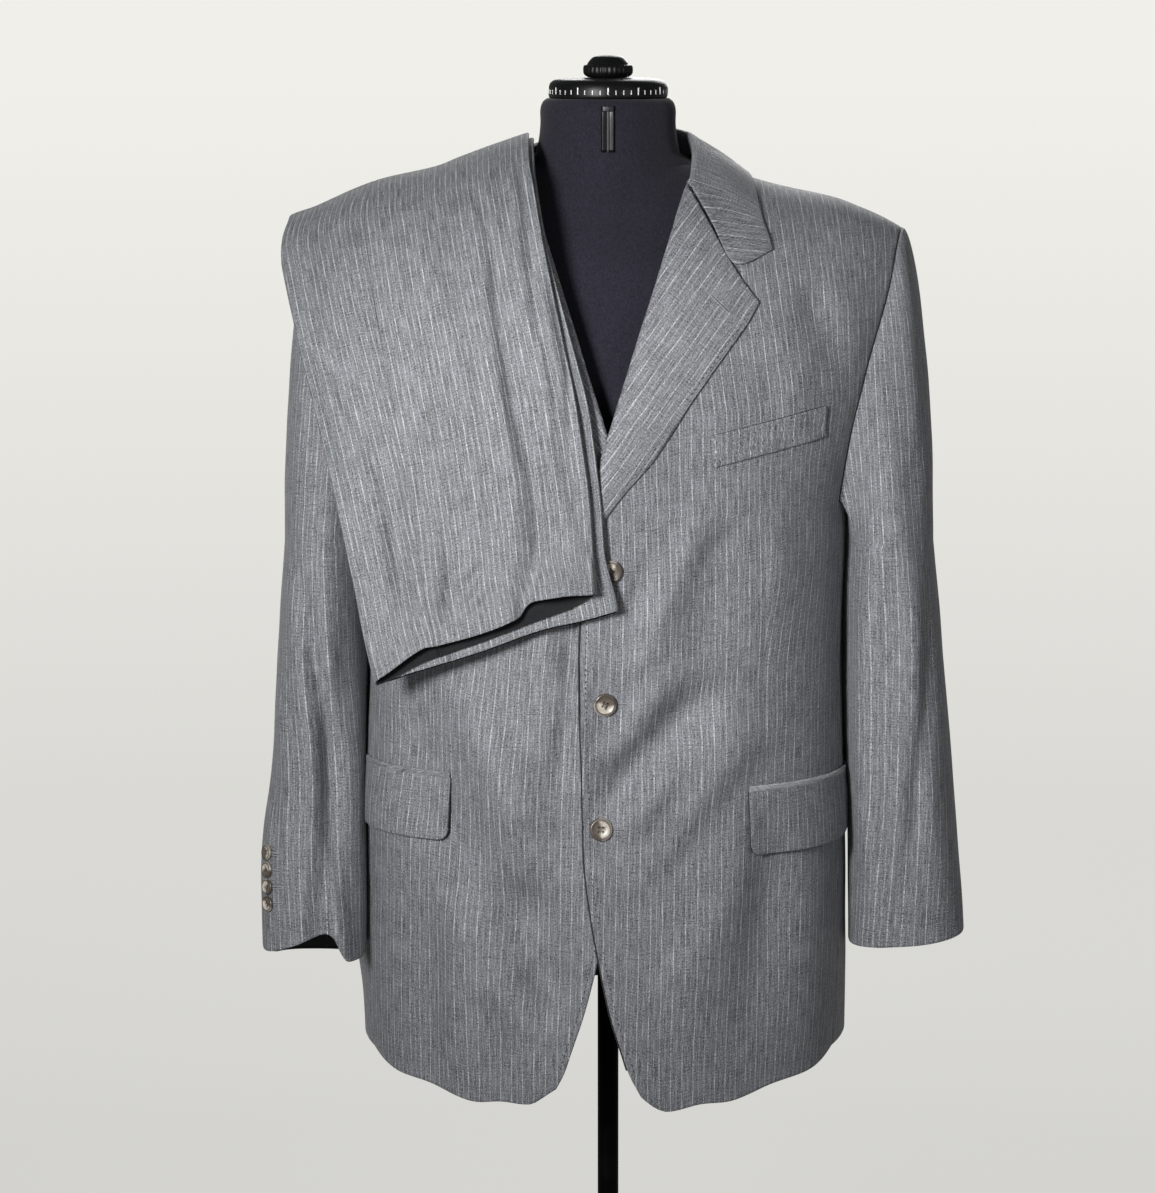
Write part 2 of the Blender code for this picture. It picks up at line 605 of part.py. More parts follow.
def armhole_point(side, share):
    """Round the armhole: 0 the shoulder, 0.4 and 0.6 the foot of its front and back edge."""
    if share <= 0.4 or share >= 0.6:
        level = 1 - share / 0.4 if share <= 0.4 else (share - 0.6) / 0.4
        behind = share >= 0.6
        x = side * smooth(ARMHOLE, level, 2 if behind else 1)
        angle = abs(angle_at(x, level, behind))
        angle = max(angle, BACK_SEAM) if behind else min(angle, SIDE_SEAM)
    else:
        level = 0.0
        angle = mix(SIDE_SEAM, BACK_SEAM, (share - 0.4) / 0.2)
    point = body(side * angle, level)
    if level == 1.0:
        point.y = 0.0
    return point + body_normal(side * angle, min(level, 0.96)) * 0.0008 + Vector((side * 0.0006, 0, 0))


def sleeve_ring(side, share, z):
    """A place on the sleeve below the armhole, and round the cuff."""
    table = SLEEVE_LEFT if side > 0 else SLEEVE_RIGHT
    rows = sorted(table)
    outer, inner, middle, depth, power, turn = (smooth(rows, z, k) for k in range(1, 7))
    angle = math.radians(360 * share + turn)
    x = (outer + inner) / 2 + (outer - inner) / 2 * power_of(math.cos(angle), 2 / power)
    y = middle - depth * power_of(math.sin(angle), 2 / power)
    rise = CUFF_RISE_OUT * math.cos(angle)
    if side < 0:
        rise = CUFF_RISE_FRONT * math.sin(angle)
    return Vector((side * x, y, z + rise * ease(0.90, 0.77, z)))


def sleeve_column(side, share):
    """One line down the sleeve, from the armhole to the cuff."""
    top = armhole_point(side, share % 1.0)
    first = sleeve_ring(side, share, SLEEVE_LEFT[0][0])
    reach = smooth(SLEEVE_HEAD, share % 1.0)
    away = Vector((side, -0.35 * math.sin(math.radians(360 * share)), 0.10)).normalized()
    handles = (top, top + away * reach, first + Vector((0, 0, 0.5 * (top.z - first.z))), first)
    column = []
    for step in SLEEVE_STEPS:
        a, b, c = (1 - step)**3, 3 * step * (1 - step)**2, 3 * step * step * (1 - step)
        column.append(handles[0] * a + handles[1] * b + handles[2] * c + handles[3] * step**3)
    for z in SLEEVE_LEVELS:
        column.append(sleeve_ring(side, share, z))
    return column


def sleeve(side, upper, place):
    front_seam, hind_seam = SLEEVE_SEAMS
    clear = 0.0009
    if upper:
        ends = (hind_seam - 1 + clear, front_seam - clear)
        inner = (-0.23, -0.15, -0.075, 0.0, 0.075, 0.15, 0.23, 0.31)
    else:
        ends = (front_seam + clear, hind_seam - clear)
        inner = (0.44, 0.50, 0.56, 0.61, 0.66)
    guard = 0.006
    shares = (ends[0], ends[0] + guard) + inner + (ends[1] - guard, ends[1])
    columns = [sleeve_column(side, share) for share in shares]
    rows = [list(row) for row in zip(*columns)]
    name = "sleeve_%s_%s" % ("left" if side > 0 else "right", "top" if upper else "under")
    facing = (side, -0.2, 0) if upper else (-side, 0.2, 0)
    if side < 0:
        facing = (-0.3, -1, 0) if upper else (0.3, 1, 0)
    return sheet(name, rows, WALL, place, (facing, len(shares) // 2 - 1))


def patch(name, side, rows, place, seat=0.0006):
    """A flat trim on a front: rows of (x, height) on it, built outwards from just above it."""
    grid = [[on_front(side, x, z, seat) for x, z in row] for row in rows]
    return sheet(name, grid, TRIM_WALL, place, ((0, -1, 0), 1), 1.0)


def breast_welt(place):
    corners = [Vector(corner) for corner in WELT]
    steps = (0.0, 0.2, 0.4, 0.6, 0.8, 1.0)
    rows = [[tuple(corners[0].lerp(corners[1], s).lerp(corners[3].lerp(corners[2], s), up)) for s in steps]
            for up in (0.0, 1.0)]
    return patch("breast_welt", 1, rows, place)


def flap_and_jet(flap, place):
    side, front, rear, top, depth = flap
    own = "left" if side > 0 else "right"
    spread = [mix(front, rear, s) for s in (0.0, 0.05, 0.12, 0.24, 0.38, 0.52, 0.66, 0.8, 0.92, 1.0)]
    seat = 0.0009

    def drop(index):
        """Depth of the flap: its front corner is round, and it gets shallower to the rear."""
        run = (0.0, 0.008, 0.019)[index] if index < 3 else 1.0
        cut = FLAP_CORNER * (1 - rounded(1 - min(run / FLAP_CORNER, 1.0), 2.0))
        return depth - cut - 0.004 * ease(0.5, 1.0, index / (len(spread) - 1))

    rows = []
    for share in (0.0, 0.35, 0.7, 1.0):
        rows.append([body(side * angle, top - drop(k) * share - ARM_Z, seat + 0.0012 * share)
                     for k, angle in enumerate(spread)])
    sheet("pocket_flap_" + own, rows, TRIM_WALL, place, ((side * 0.5, -1, 0), 4), 1.0)
    rows = [[body(side * angle, z - ARM_Z, seat) for angle in spread] for z in (top + SEAM, top + SEAM + JET)]
    sheet("pocket_jet_" + own, rows, 0.0012, place, ((side * 0.5, -1, 0), 4), 1.0)


def button(name, size, centre, facing, place, segments=16):
    """A disc with a raised rim and a dished middle, facing outwards."""
    radius, thick = size
    profile = ((0.60 * radius, 0.64 * thick), (0.78 * radius, thick), (radius, 0.70 * thick),
               (0.92 * radius, 0.0))
    obj = turned(name, profile, place, segments=segments)
    turn = Vector(facing).to_track_quat("Z", "Y")
    obj.matrix_world = Matrix.Translation(centre) @ turn.to_matrix().to_4x4()
    return obj


def front_buttons(place):
    for number, z in enumerate(BUTTON_HEIGHTS, 1):
        x = smooth(CENTRE_LINE, z)
        normal = body_normal(angle_at(x, z - ARM_Z), z - ARM_Z)
        button("button_front_%d" % number, BUTTON, on_front(1, x, z, 0.0007), normal, place)


def cuff_buttons(side, place):
    """Four in a row beside the hind seam."""
    hind = SLEEVE_SEAMS[1] - 1
    share = hind + CUFF_BUTTON_IN[side]
    for number in range(4):
        z = CUFF_BUTTON_TOP - number * CUFF_BUTTON_STEP
        centre = sleeve_ring(side, share, z)
        along = sleeve_ring(side, share + 0.01, z) - sleeve_ring(side, share - 0.01, z)
        down = sleeve_ring(side, share, z - 0.01) - sleeve_ring(side, share, z + 0.01)
        normal = along.cross(down).normalized() * side
        middle = Vector((side * 0.275, -0.04, z))       # inside the sleeve
        if normal.dot(centre - middle) < 0:
            normal.negate()
        name = "cuff_button_%s_%d" % ("left" if side > 0 else "right", number + 1)
        button(name, CUFF_BUTTON, centre + normal * CUFF_SEAT[side], normal, place, 12)


# ---- the trousers

def bed(x, level, face, out):
    """A place over the shoulder, out metres above the bed; face is -1 in front, 1 behind."""
    low = BED_LOW[0] + BED_LOW[1] * (x - BED_LOW[2])
    top = smooth(BED_LINE, abs(x)) + out
    y = face * (BED_DEPTH[face] + out) * rounded(x / BED_WIDTH, BED_POWER)
    if level <= 0:
        return Vector((x, y, low + level))
    rise = math.radians(90 * level)
    y *= max(math.cos(rise), 0.0) ** (2 / BED_SIDE_POWER)
    return Vector((x, y, low + (top - low) * math.sin(rise) ** (2 / BED_SIDE_POWER)))


def layers(level, face):
    """Heights above the bed: under leg's inner and outer side, upper leg's inner and outer side."""
    open_hem = ease(-0.02, -0.088, level) if face < 0 else 0.0
    open_waist = ease(0.0, 0.30, -level) if face > 0 else 0.0
    under = (LEG_GAP, LEG_GAP + LEG_THICKNESS + HEM_OPEN[0] * open_hem)
    inner = under[1] + LEGS_APART
    outer = inner + LEG_THICKNESS + HEM_OPEN[1] * open_hem + WAIST_OPEN * open_waist
    return under + (inner, outer)


def leg_points(level, face, upper, left_half, waist=None):
    """One section of a trouser panel, from its side seam round the crease to its inseam."""
    under_in, under_out, upper_in, upper_out = layers(level, face)
    table = LEG_FRONT if face < 0 else LEG_BACK
    left, right = smooth(table, level, 1), smooth(table, level, 2)
    if not upper:
        shown = ease(0.7, -0.08, level) if face < 0 else 0.0
        left += UNDER_LEG[0] * shown
        right += UNDER_LEG[1] * shown
    seams = SIDE_LINE if face < 0 else SIDE_LINE_BACK
    side_share, inner_share = smooth(seams, level, 1), smooth(seams, level, 2)
    clear = SEAM / 2
    width = right - left
    far, near = (upper_out, upper_in) if upper else (under_in, under_out)
    radius = abs(far - near) / 2
    middle = (far + near) / 2
    towards = 1 if far > near else -1
    edge, inward = (left, 1) if left_half else (right, -1)
    reach = side_share * width if left_half else (1 - side_share) * width
    inner_reach = inner_share * width if left_half else (1 - inner_share) * width
    outer_steps = (0.0, 0.35, 0.7, 1.0) if left_half else (0.0, 0.2, 0.4, 0.6, 0.8, 1.0)
    inner_steps = (0.0, 0.33, 0.66, 1.0)
    flat, folded = [], []
    for step in outer_steps:
        along = mix(reach - clear, radius, step)
        flat.append((edge + inward * along, far))
    for turn in (45, 90, 135):
        a = math.radians(turn)
        flat.append((edge + inward * radius * (1 - math.sin(a)), middle + towards * radius * math.cos(a)))
    for step in inner_steps:
        along = mix(radius, inner_reach - clear, step)
        flat.append((edge + inward * along, near))
    # where the legs have joined, the panel ends on the fold instead
    whole = (upper_out - under_in) / 2
    centre = (upper_out + under_in) / 2
    for step in outer_steps:
        along = mix(reach - clear, whole, step)
        folded.append((edge + inward * along, far))
    rest = len(flat) - len(outer_steps)
    for index in range(1, rest + 1):
        a = math.radians(HIP_TURN * index / rest)
        folded.append((edge + inward * whole * (1 - math.sin(a)), centre + towards * whole * math.cos(a)))
    join_share = ease(CROTCH_LEVEL, SEAT_LEVEL, level) if face > 0 else 0.0
    points = []
    for (x0, out0), (x1, out1) in zip(flat, folded):
        x, out = mix(x0, x1, join_share), mix(out0, out1, join_share)
        place_level = level
        if face < 0 and level < 0:
            drop = HEM_DROP * (upper_out - out) / (upper_out - under_in)
            rise = HEM_RISE * ease(0.0, 1.0, (x - left) / width)
            place_level = level * (1 - rise) - drop * level / FRONT_LEVELS[0]
        points.append(bed(x, place_level, face, out))
    return points


def trouser_panel(upper, left_half, place):
    rows = [leg_points(level, -1, upper, left_half) for level in FRONT_LEVELS]
    rows += [leg_points(level, 1, upper, left_half) for level in BACK_LEVELS]
    name = "trouser_%s_%s" % ("left" if upper else "right", "front" if left_half else "back")
    facing = (0, 0.2, 1) if upper else (0, -0.2, -1)
    return sheet(name, rows, TROUSER_WALL, place, (facing, 1))


def waistband(upper, place):
    rows = []
    for share in (0.0, 0.5, 1.0):
        level = mix(WAIST_SEAM, WAIST_EDGE, share)
        left = leg_points(level, 1, upper, True)
        right = leg_points(level, 1, upper, False)
        middle = (left[0] + right[0]) / 2
        rows.append(left[:0:-1] + [middle] + right[1:])
    name = "waistband_left" if upper else "waistband_right"
    return sheet(name, rows, TROUSER_WALL, place, ((0, 1, 0) if upper else (0, -1, 0), len(rows[0]) // 2))


# ---- the dress form

def form_section(half_width, z, fit):
    """A level ring of the form: the jacket's section made smaller, run into the round neck."""
    neck_width, neck_depth = smooth(FORM_NECK, z, 1), smooth(FORM_NECK, z, 2)
    depth_front, depth_back = (smooth(BODY_SECTIONS, min(z, ARM_Z), k) * fit for k in (3, 4))
    ring = []
    for index in range(FORM_SEGMENTS):
        angle = 2 * math.pi * index / FORM_SEGMENTS
        x = half_width * power_of(math.sin(angle), 0.86)
        trunk = rounded(x / max(half_width, 0.21 if z > 1.44 else half_width), 2.3)
        if z > ARM_Z:
            top = shoulder_line(x) - FORM_CLEAR
            trunk *= rounded((z - ARM_Z) / (top - ARM_Z), FORM_SIDE_POWER)
        front = math.cos(angle) > 0
        y = trunk * (depth_front if front else depth_back)
        if z > FORM_NECK[0][0]:
            y = (y**6 + (neck_depth * rounded(x / neck_width, 2.0))**6) ** (1 / 6)
        ring.append(Vector((x, -y if front else y, z)))
    return ring


def torso(place):
    rings = [form_section(width, z, fit) for z, width, fit in FORM_SECTIONS]
    for width in FORM_SHOULDER:
        rings.append(form_section(width, shoulder_line(width) - FORM_CLEAR, FORM_FIT))
    turns = [2 * math.pi * k / FORM_SEGMENTS for k in range(FORM_SEGMENTS)]
    for z, width, depth in FORM_NECK[3:]:
        rings.append([Vector((width * math.sin(turn), -depth * math.cos(turn), z)) for turn in turns])
    shell = bmesh.new()
    made = [[shell.verts.new(point) for point in ring] for ring in rings]
    for low, high in zip(made, made[1:]):
        for k in range(len(low)):
            shell.faces.new((low[k], low[(k + 1) % len(low)], high[(k + 1) % len(low)], high[k]))
    shell.faces.new(made[0][::-1])
    shell.faces.new(made[-1])
    bmesh.ops.remove_doubles(shell, verts=shell.verts, dist=0.00001)
    bmesh.ops.recalc_face_normals(shell, faces=shell.faces)
    add_mesh("form_torso", shell, place).data.shade_smooth()


def neck_slot(place):
    """The dark channel down the front of the neck, as a thin strip that follows it."""
    rows = []
    for z in SLOT_HEIGHTS:
        radius = smooth(FORM_NECK, z, 2) + 0.0005
        half = SLOT_WIDTH / 2
        rows.append([Vector((x, -math.sqrt(radius * radius - x * x), z)) for x in (-half, 0.0, half)])
    return sheet("neck_slot", rows, 0.0008, place, ((0, -1, 0), 1), 1.0)


def box(name, size, centre, place):
    shape = bmesh.new()
    bmesh.ops.create_cube(shape, size=1.0, matrix=Matrix.Diagonal((*size, 1.0)))
    add_mesh(name, shape, place).location = centre


def stand(black, plastic, metal):
    turned("base_plate", BASE, black, segments=48)
    turned("base_hub", HUB, black, segments=24)
    radius, head = POLE
    lower = HUB[0][1] + SEAM
    turned("pole", ((radius, head), (radius, lower)), black, segments=20)
    turned("neck_dial", DIAL, plastic, segments=36)
    turned("neck_knob", KNOB, plastic, segments=24)
    box("neck_latch", LATCH, LATCH_CENTRE, metal)


# ---- put together

def main():
    for obj in list(bpy.data.objects):
        bpy.data.objects.remove(obj, do_unlink=True)
    parts = bpy.data.collections.new("two_piece_suit")
    bpy.context.scene.collection.children.link(parts)

    cloth = (parts, material("suit_cloth", (0.165, 0.170, 0.182), 0.78))
    trousers = (parts, material("trouser_cloth", (0.180, 0.187, 0.203), 0.78))
    horn = (parts, material("button_horn", (0.16, 0.13, 0.10), 0.35))
    jersey = (parts, material("form_jersey", (0.022, 0.022, 0.036), 0.90))
    plastic = (parts, material("black_plastic", (0.010, 0.010, 0.011), 0.35))
    enamel = (parts, material("black_enamel", (0.012, 0.012, 0.013), 0.40))
    latch_metal = (parts, material("latch_metal", (0.55, 0.55, 0.57), 0.30, 0.9))

    for side in (1, -1):
        front_panel(side, cloth)
        side_panel(side, cloth)
        back_panel(side, cloth)
        lapel(side, cloth)
        sleeve(side, True, cloth)
        sleeve(side, False, cloth)
        cuff_buttons(side, horn)
    collar(cloth)
    breast_welt(cloth)
    for flap in FLAPS:
        flap_and_jet(flap, cloth)
    front_buttons(horn)
    for upper in (True, False):
        waistband(upper, trousers)
        for left_half in (True, False):
            trouser_panel(upper, left_half, trousers)
    torso(jersey)
    neck_slot(plastic)
    stand(enamel, plastic, latch_metal)


main()
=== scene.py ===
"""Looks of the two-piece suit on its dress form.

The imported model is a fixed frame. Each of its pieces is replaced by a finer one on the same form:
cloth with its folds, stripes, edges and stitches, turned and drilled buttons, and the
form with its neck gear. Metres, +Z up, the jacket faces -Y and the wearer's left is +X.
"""
import json
import math

import bmesh
import bpy
import numpy as np
from mathutils import Matrix, Vector

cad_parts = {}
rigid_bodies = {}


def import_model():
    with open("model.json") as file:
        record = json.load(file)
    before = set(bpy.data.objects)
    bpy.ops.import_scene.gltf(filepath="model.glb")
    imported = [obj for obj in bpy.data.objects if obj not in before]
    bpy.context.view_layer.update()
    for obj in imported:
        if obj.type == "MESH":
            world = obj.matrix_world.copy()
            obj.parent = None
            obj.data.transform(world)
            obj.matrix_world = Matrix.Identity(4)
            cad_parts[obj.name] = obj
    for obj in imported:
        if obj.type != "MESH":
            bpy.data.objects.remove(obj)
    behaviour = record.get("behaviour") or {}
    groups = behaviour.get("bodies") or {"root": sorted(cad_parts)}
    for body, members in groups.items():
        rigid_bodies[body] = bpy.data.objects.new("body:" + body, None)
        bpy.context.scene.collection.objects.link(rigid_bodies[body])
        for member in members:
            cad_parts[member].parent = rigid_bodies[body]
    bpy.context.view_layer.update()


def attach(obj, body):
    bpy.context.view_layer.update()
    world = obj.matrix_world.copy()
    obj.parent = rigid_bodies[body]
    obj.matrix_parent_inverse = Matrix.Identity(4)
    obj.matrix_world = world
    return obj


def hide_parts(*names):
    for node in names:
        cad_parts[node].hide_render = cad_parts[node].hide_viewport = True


for leftover in list(bpy.data.objects):
    bpy.data.objects.remove(leftover, do_unlink=True)
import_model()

SUIT = "suit_and_form"
KNOB_BODY = "knob"

# ---- measures of the garment, as in the part's source

WALL = 0.002
TROUSER_WALL = 0.0015
SEAM = 0.0003
LAP = 0.0027
ARM_Z = 1.17
SHOULDER_POWER = 2.3
# height, centre x, half width, front depth, back depth, roundness
BODY_SECTIONS = (
    (0.6, -0.0035, 0.2245, 0.166, 0.156, 2.35), (0.75, -0.0035, 0.2245, 0.163, 0.153, 2.35),
    (0.9, -0.003, 0.2235, 0.16, 0.149, 2.35), (1.0, -0.002, 0.2205, 0.158, 0.141, 2.3),
    (1.08, -0.001, 0.219, 0.157, 0.139, 2.3), (1.17, 0.0, 0.219, 0.155, 0.149, 2.3),
)
# share of the way up from the armholes' foot, half width
UPPER_WIDTH = ((0.0, 0.219), (0.125, 0.238), (0.25, 0.256), (0.5, 0.278), (0.75, 0.296), (1.0, 0.305))
# x, height
SHOULDER_LINE = (
    (0.0, 1.49), (0.086, 1.4745), (0.122, 1.462), (0.156, 1.4525), (0.206, 1.4415), (0.2315, 1.432),
    (0.2516, 1.423), (0.268, 1.4135), (0.3, 1.39),
)
# share of the way up, x of the edge in front and behind
ARMHOLE = (
    (0.0, 0.2095, 0.21), (0.125, 0.2185, 0.219), (0.25, 0.2298, 0.229), (0.5, 0.2508, 0.248),
    (0.75, 0.2605, 0.259), (1.0, 0.268, 0.268),
)
# degrees round the body from the middle of the front
SIDE_SEAM = 72.3
BACK_SEAM = 116.0
# angle, width in degrees, height, spread, depth
SWINGS = (
    (-100.0, 20.0, 0.775, 0.055, 0.014), (104.0, 16.0, 0.7, 0.08, 0.005),
    (40.0, 16.0, 0.64, 0.06, -0.004), (-38.0, 16.0, 0.64, 0.06, -0.004),
    (160.0, 11.0, 0.72, 0.14, 0.004), (-158.0, 12.0, 0.72, 0.14, 0.005),
)
# height, x
CENTRE_LINE = (
    (0.6, -0.0105), (0.7, -0.01), (0.77, -0.0085), (0.89, -0.0062), (1.003, -0.0027), (1.122, 0.0026),
    (1.22, 0.0), (1.5, 0.0),
)
# height, how far the edge lies beyond the centre line, towards its own side
FRONT_EDGE = (
    (0.645, 0.04), (0.665, 0.0295), (0.683, 0.0235), (0.72, 0.0118), (0.7666, 0.001), (0.8067, -0.0068),
    (0.853, -0.0135), (0.898, -0.016), (0.957, -0.019), (1.0056, -0.0225), (1.0655, -0.025),
    (1.096, -0.0235), (1.131, -0.0185), (1.162, -0.011), (1.1845, -0.0092), (1.2206, -0.0036),
    (1.2564, 0.0084), (1.304, 0.0227), (1.3487, 0.0372), (1.4023, 0.0543), (1.435, 0.0642),
    (1.4521, 0.0706), (1.466, 0.0765), (1.4745, 0.084),
)
CORNER_Z = 0.645
CORNER_RISE = 0.0065
# levels between which a front's edge runs to the side of the neck
NECK_MEETS = (0.97, 0.985)
BREAK_Z = 1.164
GORGE_Z = 1.4521
# share of the way from the front edge to the side seam, height
FRONT_HEM = (
    (0.0, 0.645), (0.032, 0.6365), (0.08, 0.63), (0.2, 0.6345), (0.336, 0.6345), (0.533, 0.6445),
    (0.777, 0.6505), (1.0, 0.6625),
)
# degrees round the body, height
BACK_HEM = ((72.3, 0.6625), (90.0, 0.6655), (116.0, 0.668), (180.0, 0.672))
NECK_SIDE = 0.084
NECK_BACK = 0.074
# height, x
LAPEL_EDGE = (
    (1.164, -0.005), (1.1868, 0.0105), (1.2169, 0.0373), (1.2702, 0.0733), (1.3099, 0.1023),
    (1.3497, 0.1317),
)
LAPEL_TIP = (0.1325, 1.3545)
NOTCH = (0.1102, 1.3828)
COLLAR_TIP = (0.144, 1.395)
# fold x, y, height; height of the stand; outer edge x, y sign, height
COLLAR = (
    (0.0, 0.074, 1.503, 0.0385, 0.0, 1, 1.454), (0.029, 0.069, 1.503, 0.0375, 0.034, 1, 1.453),
    (0.055, 0.0525, 1.502, 0.031, 0.07, 1, 1.452), (0.069, 0.031, 1.4995, 0.026, 0.101, 1, 1.4515),
    (0.0735, 0.014, 1.4985, 0.022, 0.116, 1, 1.458), (0.0755, 0.0, 1.496, 0.019, 0.1235, 1, 1.4629),
    (0.077, -0.013, 1.492, 0.016, 0.1275, -1, 1.4605), (0.0775, -0.027, 1.486, 0.0125, 0.13, -1, 1.455),
    (0.0765, -0.048, 1.474, 0.008, 0.133, -1, 1.44), (0.0745, -0.064, 1.462, 0.005, 0.138, -1, 1.42),
)
PRESSED = 0.0125
COLLAR_SEAT = 0.0026
# the rolled fold: how far beyond the fold line, how far out
NOSE = ((0.0018, -0.0018), (0.0026, -0.0002), (0.0019, 0.0016), (0.0002, 0.0026))
# share of the way to the outer edge, how far out on the left and on the right
LAPEL_LOFT = ((0.0, 0.003, 0.0026), (0.3, 0.0042, 0.0026), (0.6, 0.0034, 0.0025), (1.0, 0.0022, 0.0022))
# height, outer x, inner x, centre y, half depth, roundness, turn in degrees
SLEEVE_LEFT = (
    (1.13, 0.2986, 0.2245, -0.002, 0.082, 2.2, 0.0), (1.04, 0.3077, 0.225, -0.008, 0.078, 2.2, 0.0),
    (0.9, 0.32, 0.2278, -0.02, 0.066, 2.2, 0.0), (0.84, 0.325, 0.23, -0.026, 0.058, 2.2, 0.0),
    (0.763, 0.33, 0.2322, -0.034, 0.049, 2.2, 0.0),
)
SLEEVE_RIGHT = (
    (1.13, 0.2965, 0.225, -0.004, 0.081, 2.2, 0.0), (1.04, 0.303, 0.2272, -0.016, 0.072, 2.3, 30.0),
    (0.93, 0.3086, 0.231, -0.036, 0.056, 2.4, 75.0), (0.85, 0.3178, 0.232, -0.054, 0.047, 2.6, 98.0),
    (0.762, 0.3172, 0.229, -0.066, 0.044, 2.7, 101.0),
)
SLEEVE_SEAMS = (0.395, 0.715)
SLEEVE_TOP = 1.13
SLEEVE_FOOT = 0.763
# share round the armhole, how far the sleeve stands out above it
SLEEVE_HEAD = (
    (0.0, 0.012), (0.2, 0.018), (0.34, 0.006), (0.4, 0.001), (0.5, 0.0), (0.6, 0.001), (0.66, 0.006),
    (0.8, 0.018), (1.0, 0.012),
)
# seam in front moves inwards below the armhole; how far the inner side rests on the body, by height
SLEEVE_FRONT_LOW = 0.445
SLEEVE_LEAN = 0.07
SLEEVE_IN = {
    1: ((0.763, 0.009), (0.84, 0.0075), (0.9, 0.007), (0.96, 0.0088), (1.09, 0.009), (1.13, 0.0075)),
    -1: ((0.762, 0.007), (0.85, 0.0095), (0.93, 0.0085), (1.04, 0.0055), (1.13, 0.0045)),
}
# how far the hem of the right cuff's front rises, by distance from the middle
CUFF_FOLD = (
    (0.214, -0.007), (0.224, -0.009), (0.232, -0.0095), (0.2395, -0.008), (0.245, 0.001),
    (0.25, 0.0145), (0.256, 0.017), (0.264, 0.0155), (0.28, 0.009), (0.3, 0.002), (0.31, -0.001),
    (0.32, -0.002),
)
CUFF_BACK_DROP = 0.018
CUFF_RISE_OUT = 0.006
# x and height of the corners
WELT = ((0.0925, 1.2123), (0.193, 1.2351), (0.1927, 1.2621), (0.0905, 1.2397))
TRIM_WALL = 0.0016
# side, angles of both ends, height of the upper edge, depth
FLAPS = ((1, 31.6, 86.5, 0.9195, 0.0575), (-1, 35.6, 86.5, 0.93, 0.056))
FLAP_CORNER = 0.0095
JET = 0.0042
# share of a strip of 10 mm that shows, with its turned edges
JET_CUT = 0.7
BUTTON_HEIGHTS = (1.1217, 1.0029, 0.8903)
# radius, thickness
BUTTON = (0.0103, 0.0034)
CUFF_BUTTON = (0.0073, 0.0028)
# share round the sleeve, from its rear seam
CUFF_BUTTON_IN = {1: 0.045, -1: 0.125}
CUFF_BUTTON_TOP = 0.852
CUFF_BUTTON_STEP = 0.0152
CUFF_SEAT = 0.0003
BED_WIDTH = 0.37
BED_POWER = 2.5
BED_SIDE_POWER = 2.2
BED_DEPTH = {-1: 0.168, 1: 0.16}
# x, height of the shoulder that the trousers lie on
BED_LINE = (
    (0.06, 1.4925), (0.075, 1.4885), (0.1105, 1.476), (0.135, 1.466), (0.156, 1.4565), (0.206, 1.4435),
    (0.2315, 1.4345), (0.2516, 1.4255), (0.268, 1.418), (0.285, 1.412), (0.3, 1.404), (0.33, 1.385),
)
# height of the bed's foot, its slope, and the x that the height is for
BED_LOW = (1.13, 0.33, -0.14)
# level as bed() has it, x of the left and the right edge
LEG_FRONT = (
    (-0.088, -0.206, -0.009), (-0.035, -0.217, -0.0125), (0.03, -0.227, -0.016),
    (0.182, -0.2446, -0.028), (0.3, -0.258, -0.0395), (0.486, -0.277, -0.0558),
    (0.713, -0.292, -0.0682), (0.8, -0.293, -0.07), (0.9, -0.29, -0.071), (1.0, -0.29, -0.0715),
)
LEG_BACK = (
    (-0.3, -0.298, 0.215), (-0.25, -0.3, 0.19), (-0.15, -0.3, 0.14), (-0.08, -0.3, 0.1),
    (0.0, -0.295, 0.055), (0.1, -0.29, 0.025), (0.24, -0.285, -0.025), (0.42, -0.287, -0.062),
    (0.6, -0.289, -0.09), (0.76, -0.29, -0.097), (0.9, -0.29, -0.086), (1.0, -0.29, -0.0715),
)
HEM_LEVEL = -0.088
CROTCH_LEVEL = 0.1
SEAT_LEVEL = -0.03
WAIST_PANEL = -0.262
WAIST_SEAM = -0.2623
WAIST_EDGE = -0.3
LEG_THICKNESS = 0.0042
LEG_GAP = 0.0009
LEGS_APART = 0.0014
HEM_OPEN = (0.003, 0.0065)
HEM_DROP = 0.006
HEM_RISE = 0.15
UNDER_LEG = (0.0045, 0.0135)
# level, shares of the leg's width at which the outer and the inner seam lie
SIDE_LINE = ((-0.1, 0.28, 0.3), (0.3, 0.31, 0.33), (1.0, 0.36, 0.38))
SIDE_LINE_BACK = ((-0.3, 0.48, 0.48), (0.1, 0.42, 0.42), (1.0, 0.36, 0.38))
WAIST_OPEN = 0.012
HIP_TURN = 84
FORM_FIT = 0.86
FORM_CLEAR = 0.0037
FORM_SIDE_POWER = 2.0
FORM_POWER = 2.3
FORM_SPACING = 0.86
# above this height the torso is as deep as one of at least this half width
FORM_TOP = (1.44, 0.21)
# height, half width, share of the jacket's depth
FORM_SECTIONS = (
    (0.8, 0.142, 0.67), (0.804, 0.157, 0.73), (0.822, 0.17, 0.79), (0.88, 0.175, 0.82),
    (0.955, 0.169, 0.8), (1.03, 0.162, 0.78), (1.1, 0.167, 0.8), (1.17, 0.181, 0.84),
    (1.26, 0.192, 0.86), (1.35, 0.2, 0.86), (1.41, 0.2055, 0.86), (1.43, 0.205, 0.86),
    (1.4395, 0.1955, 0.86),
)
# half widths of the form from the shoulder to the neck
FORM_SHOULDER = (0.176, 0.152, 0.128, 0.106, 0.091, 0.0835)
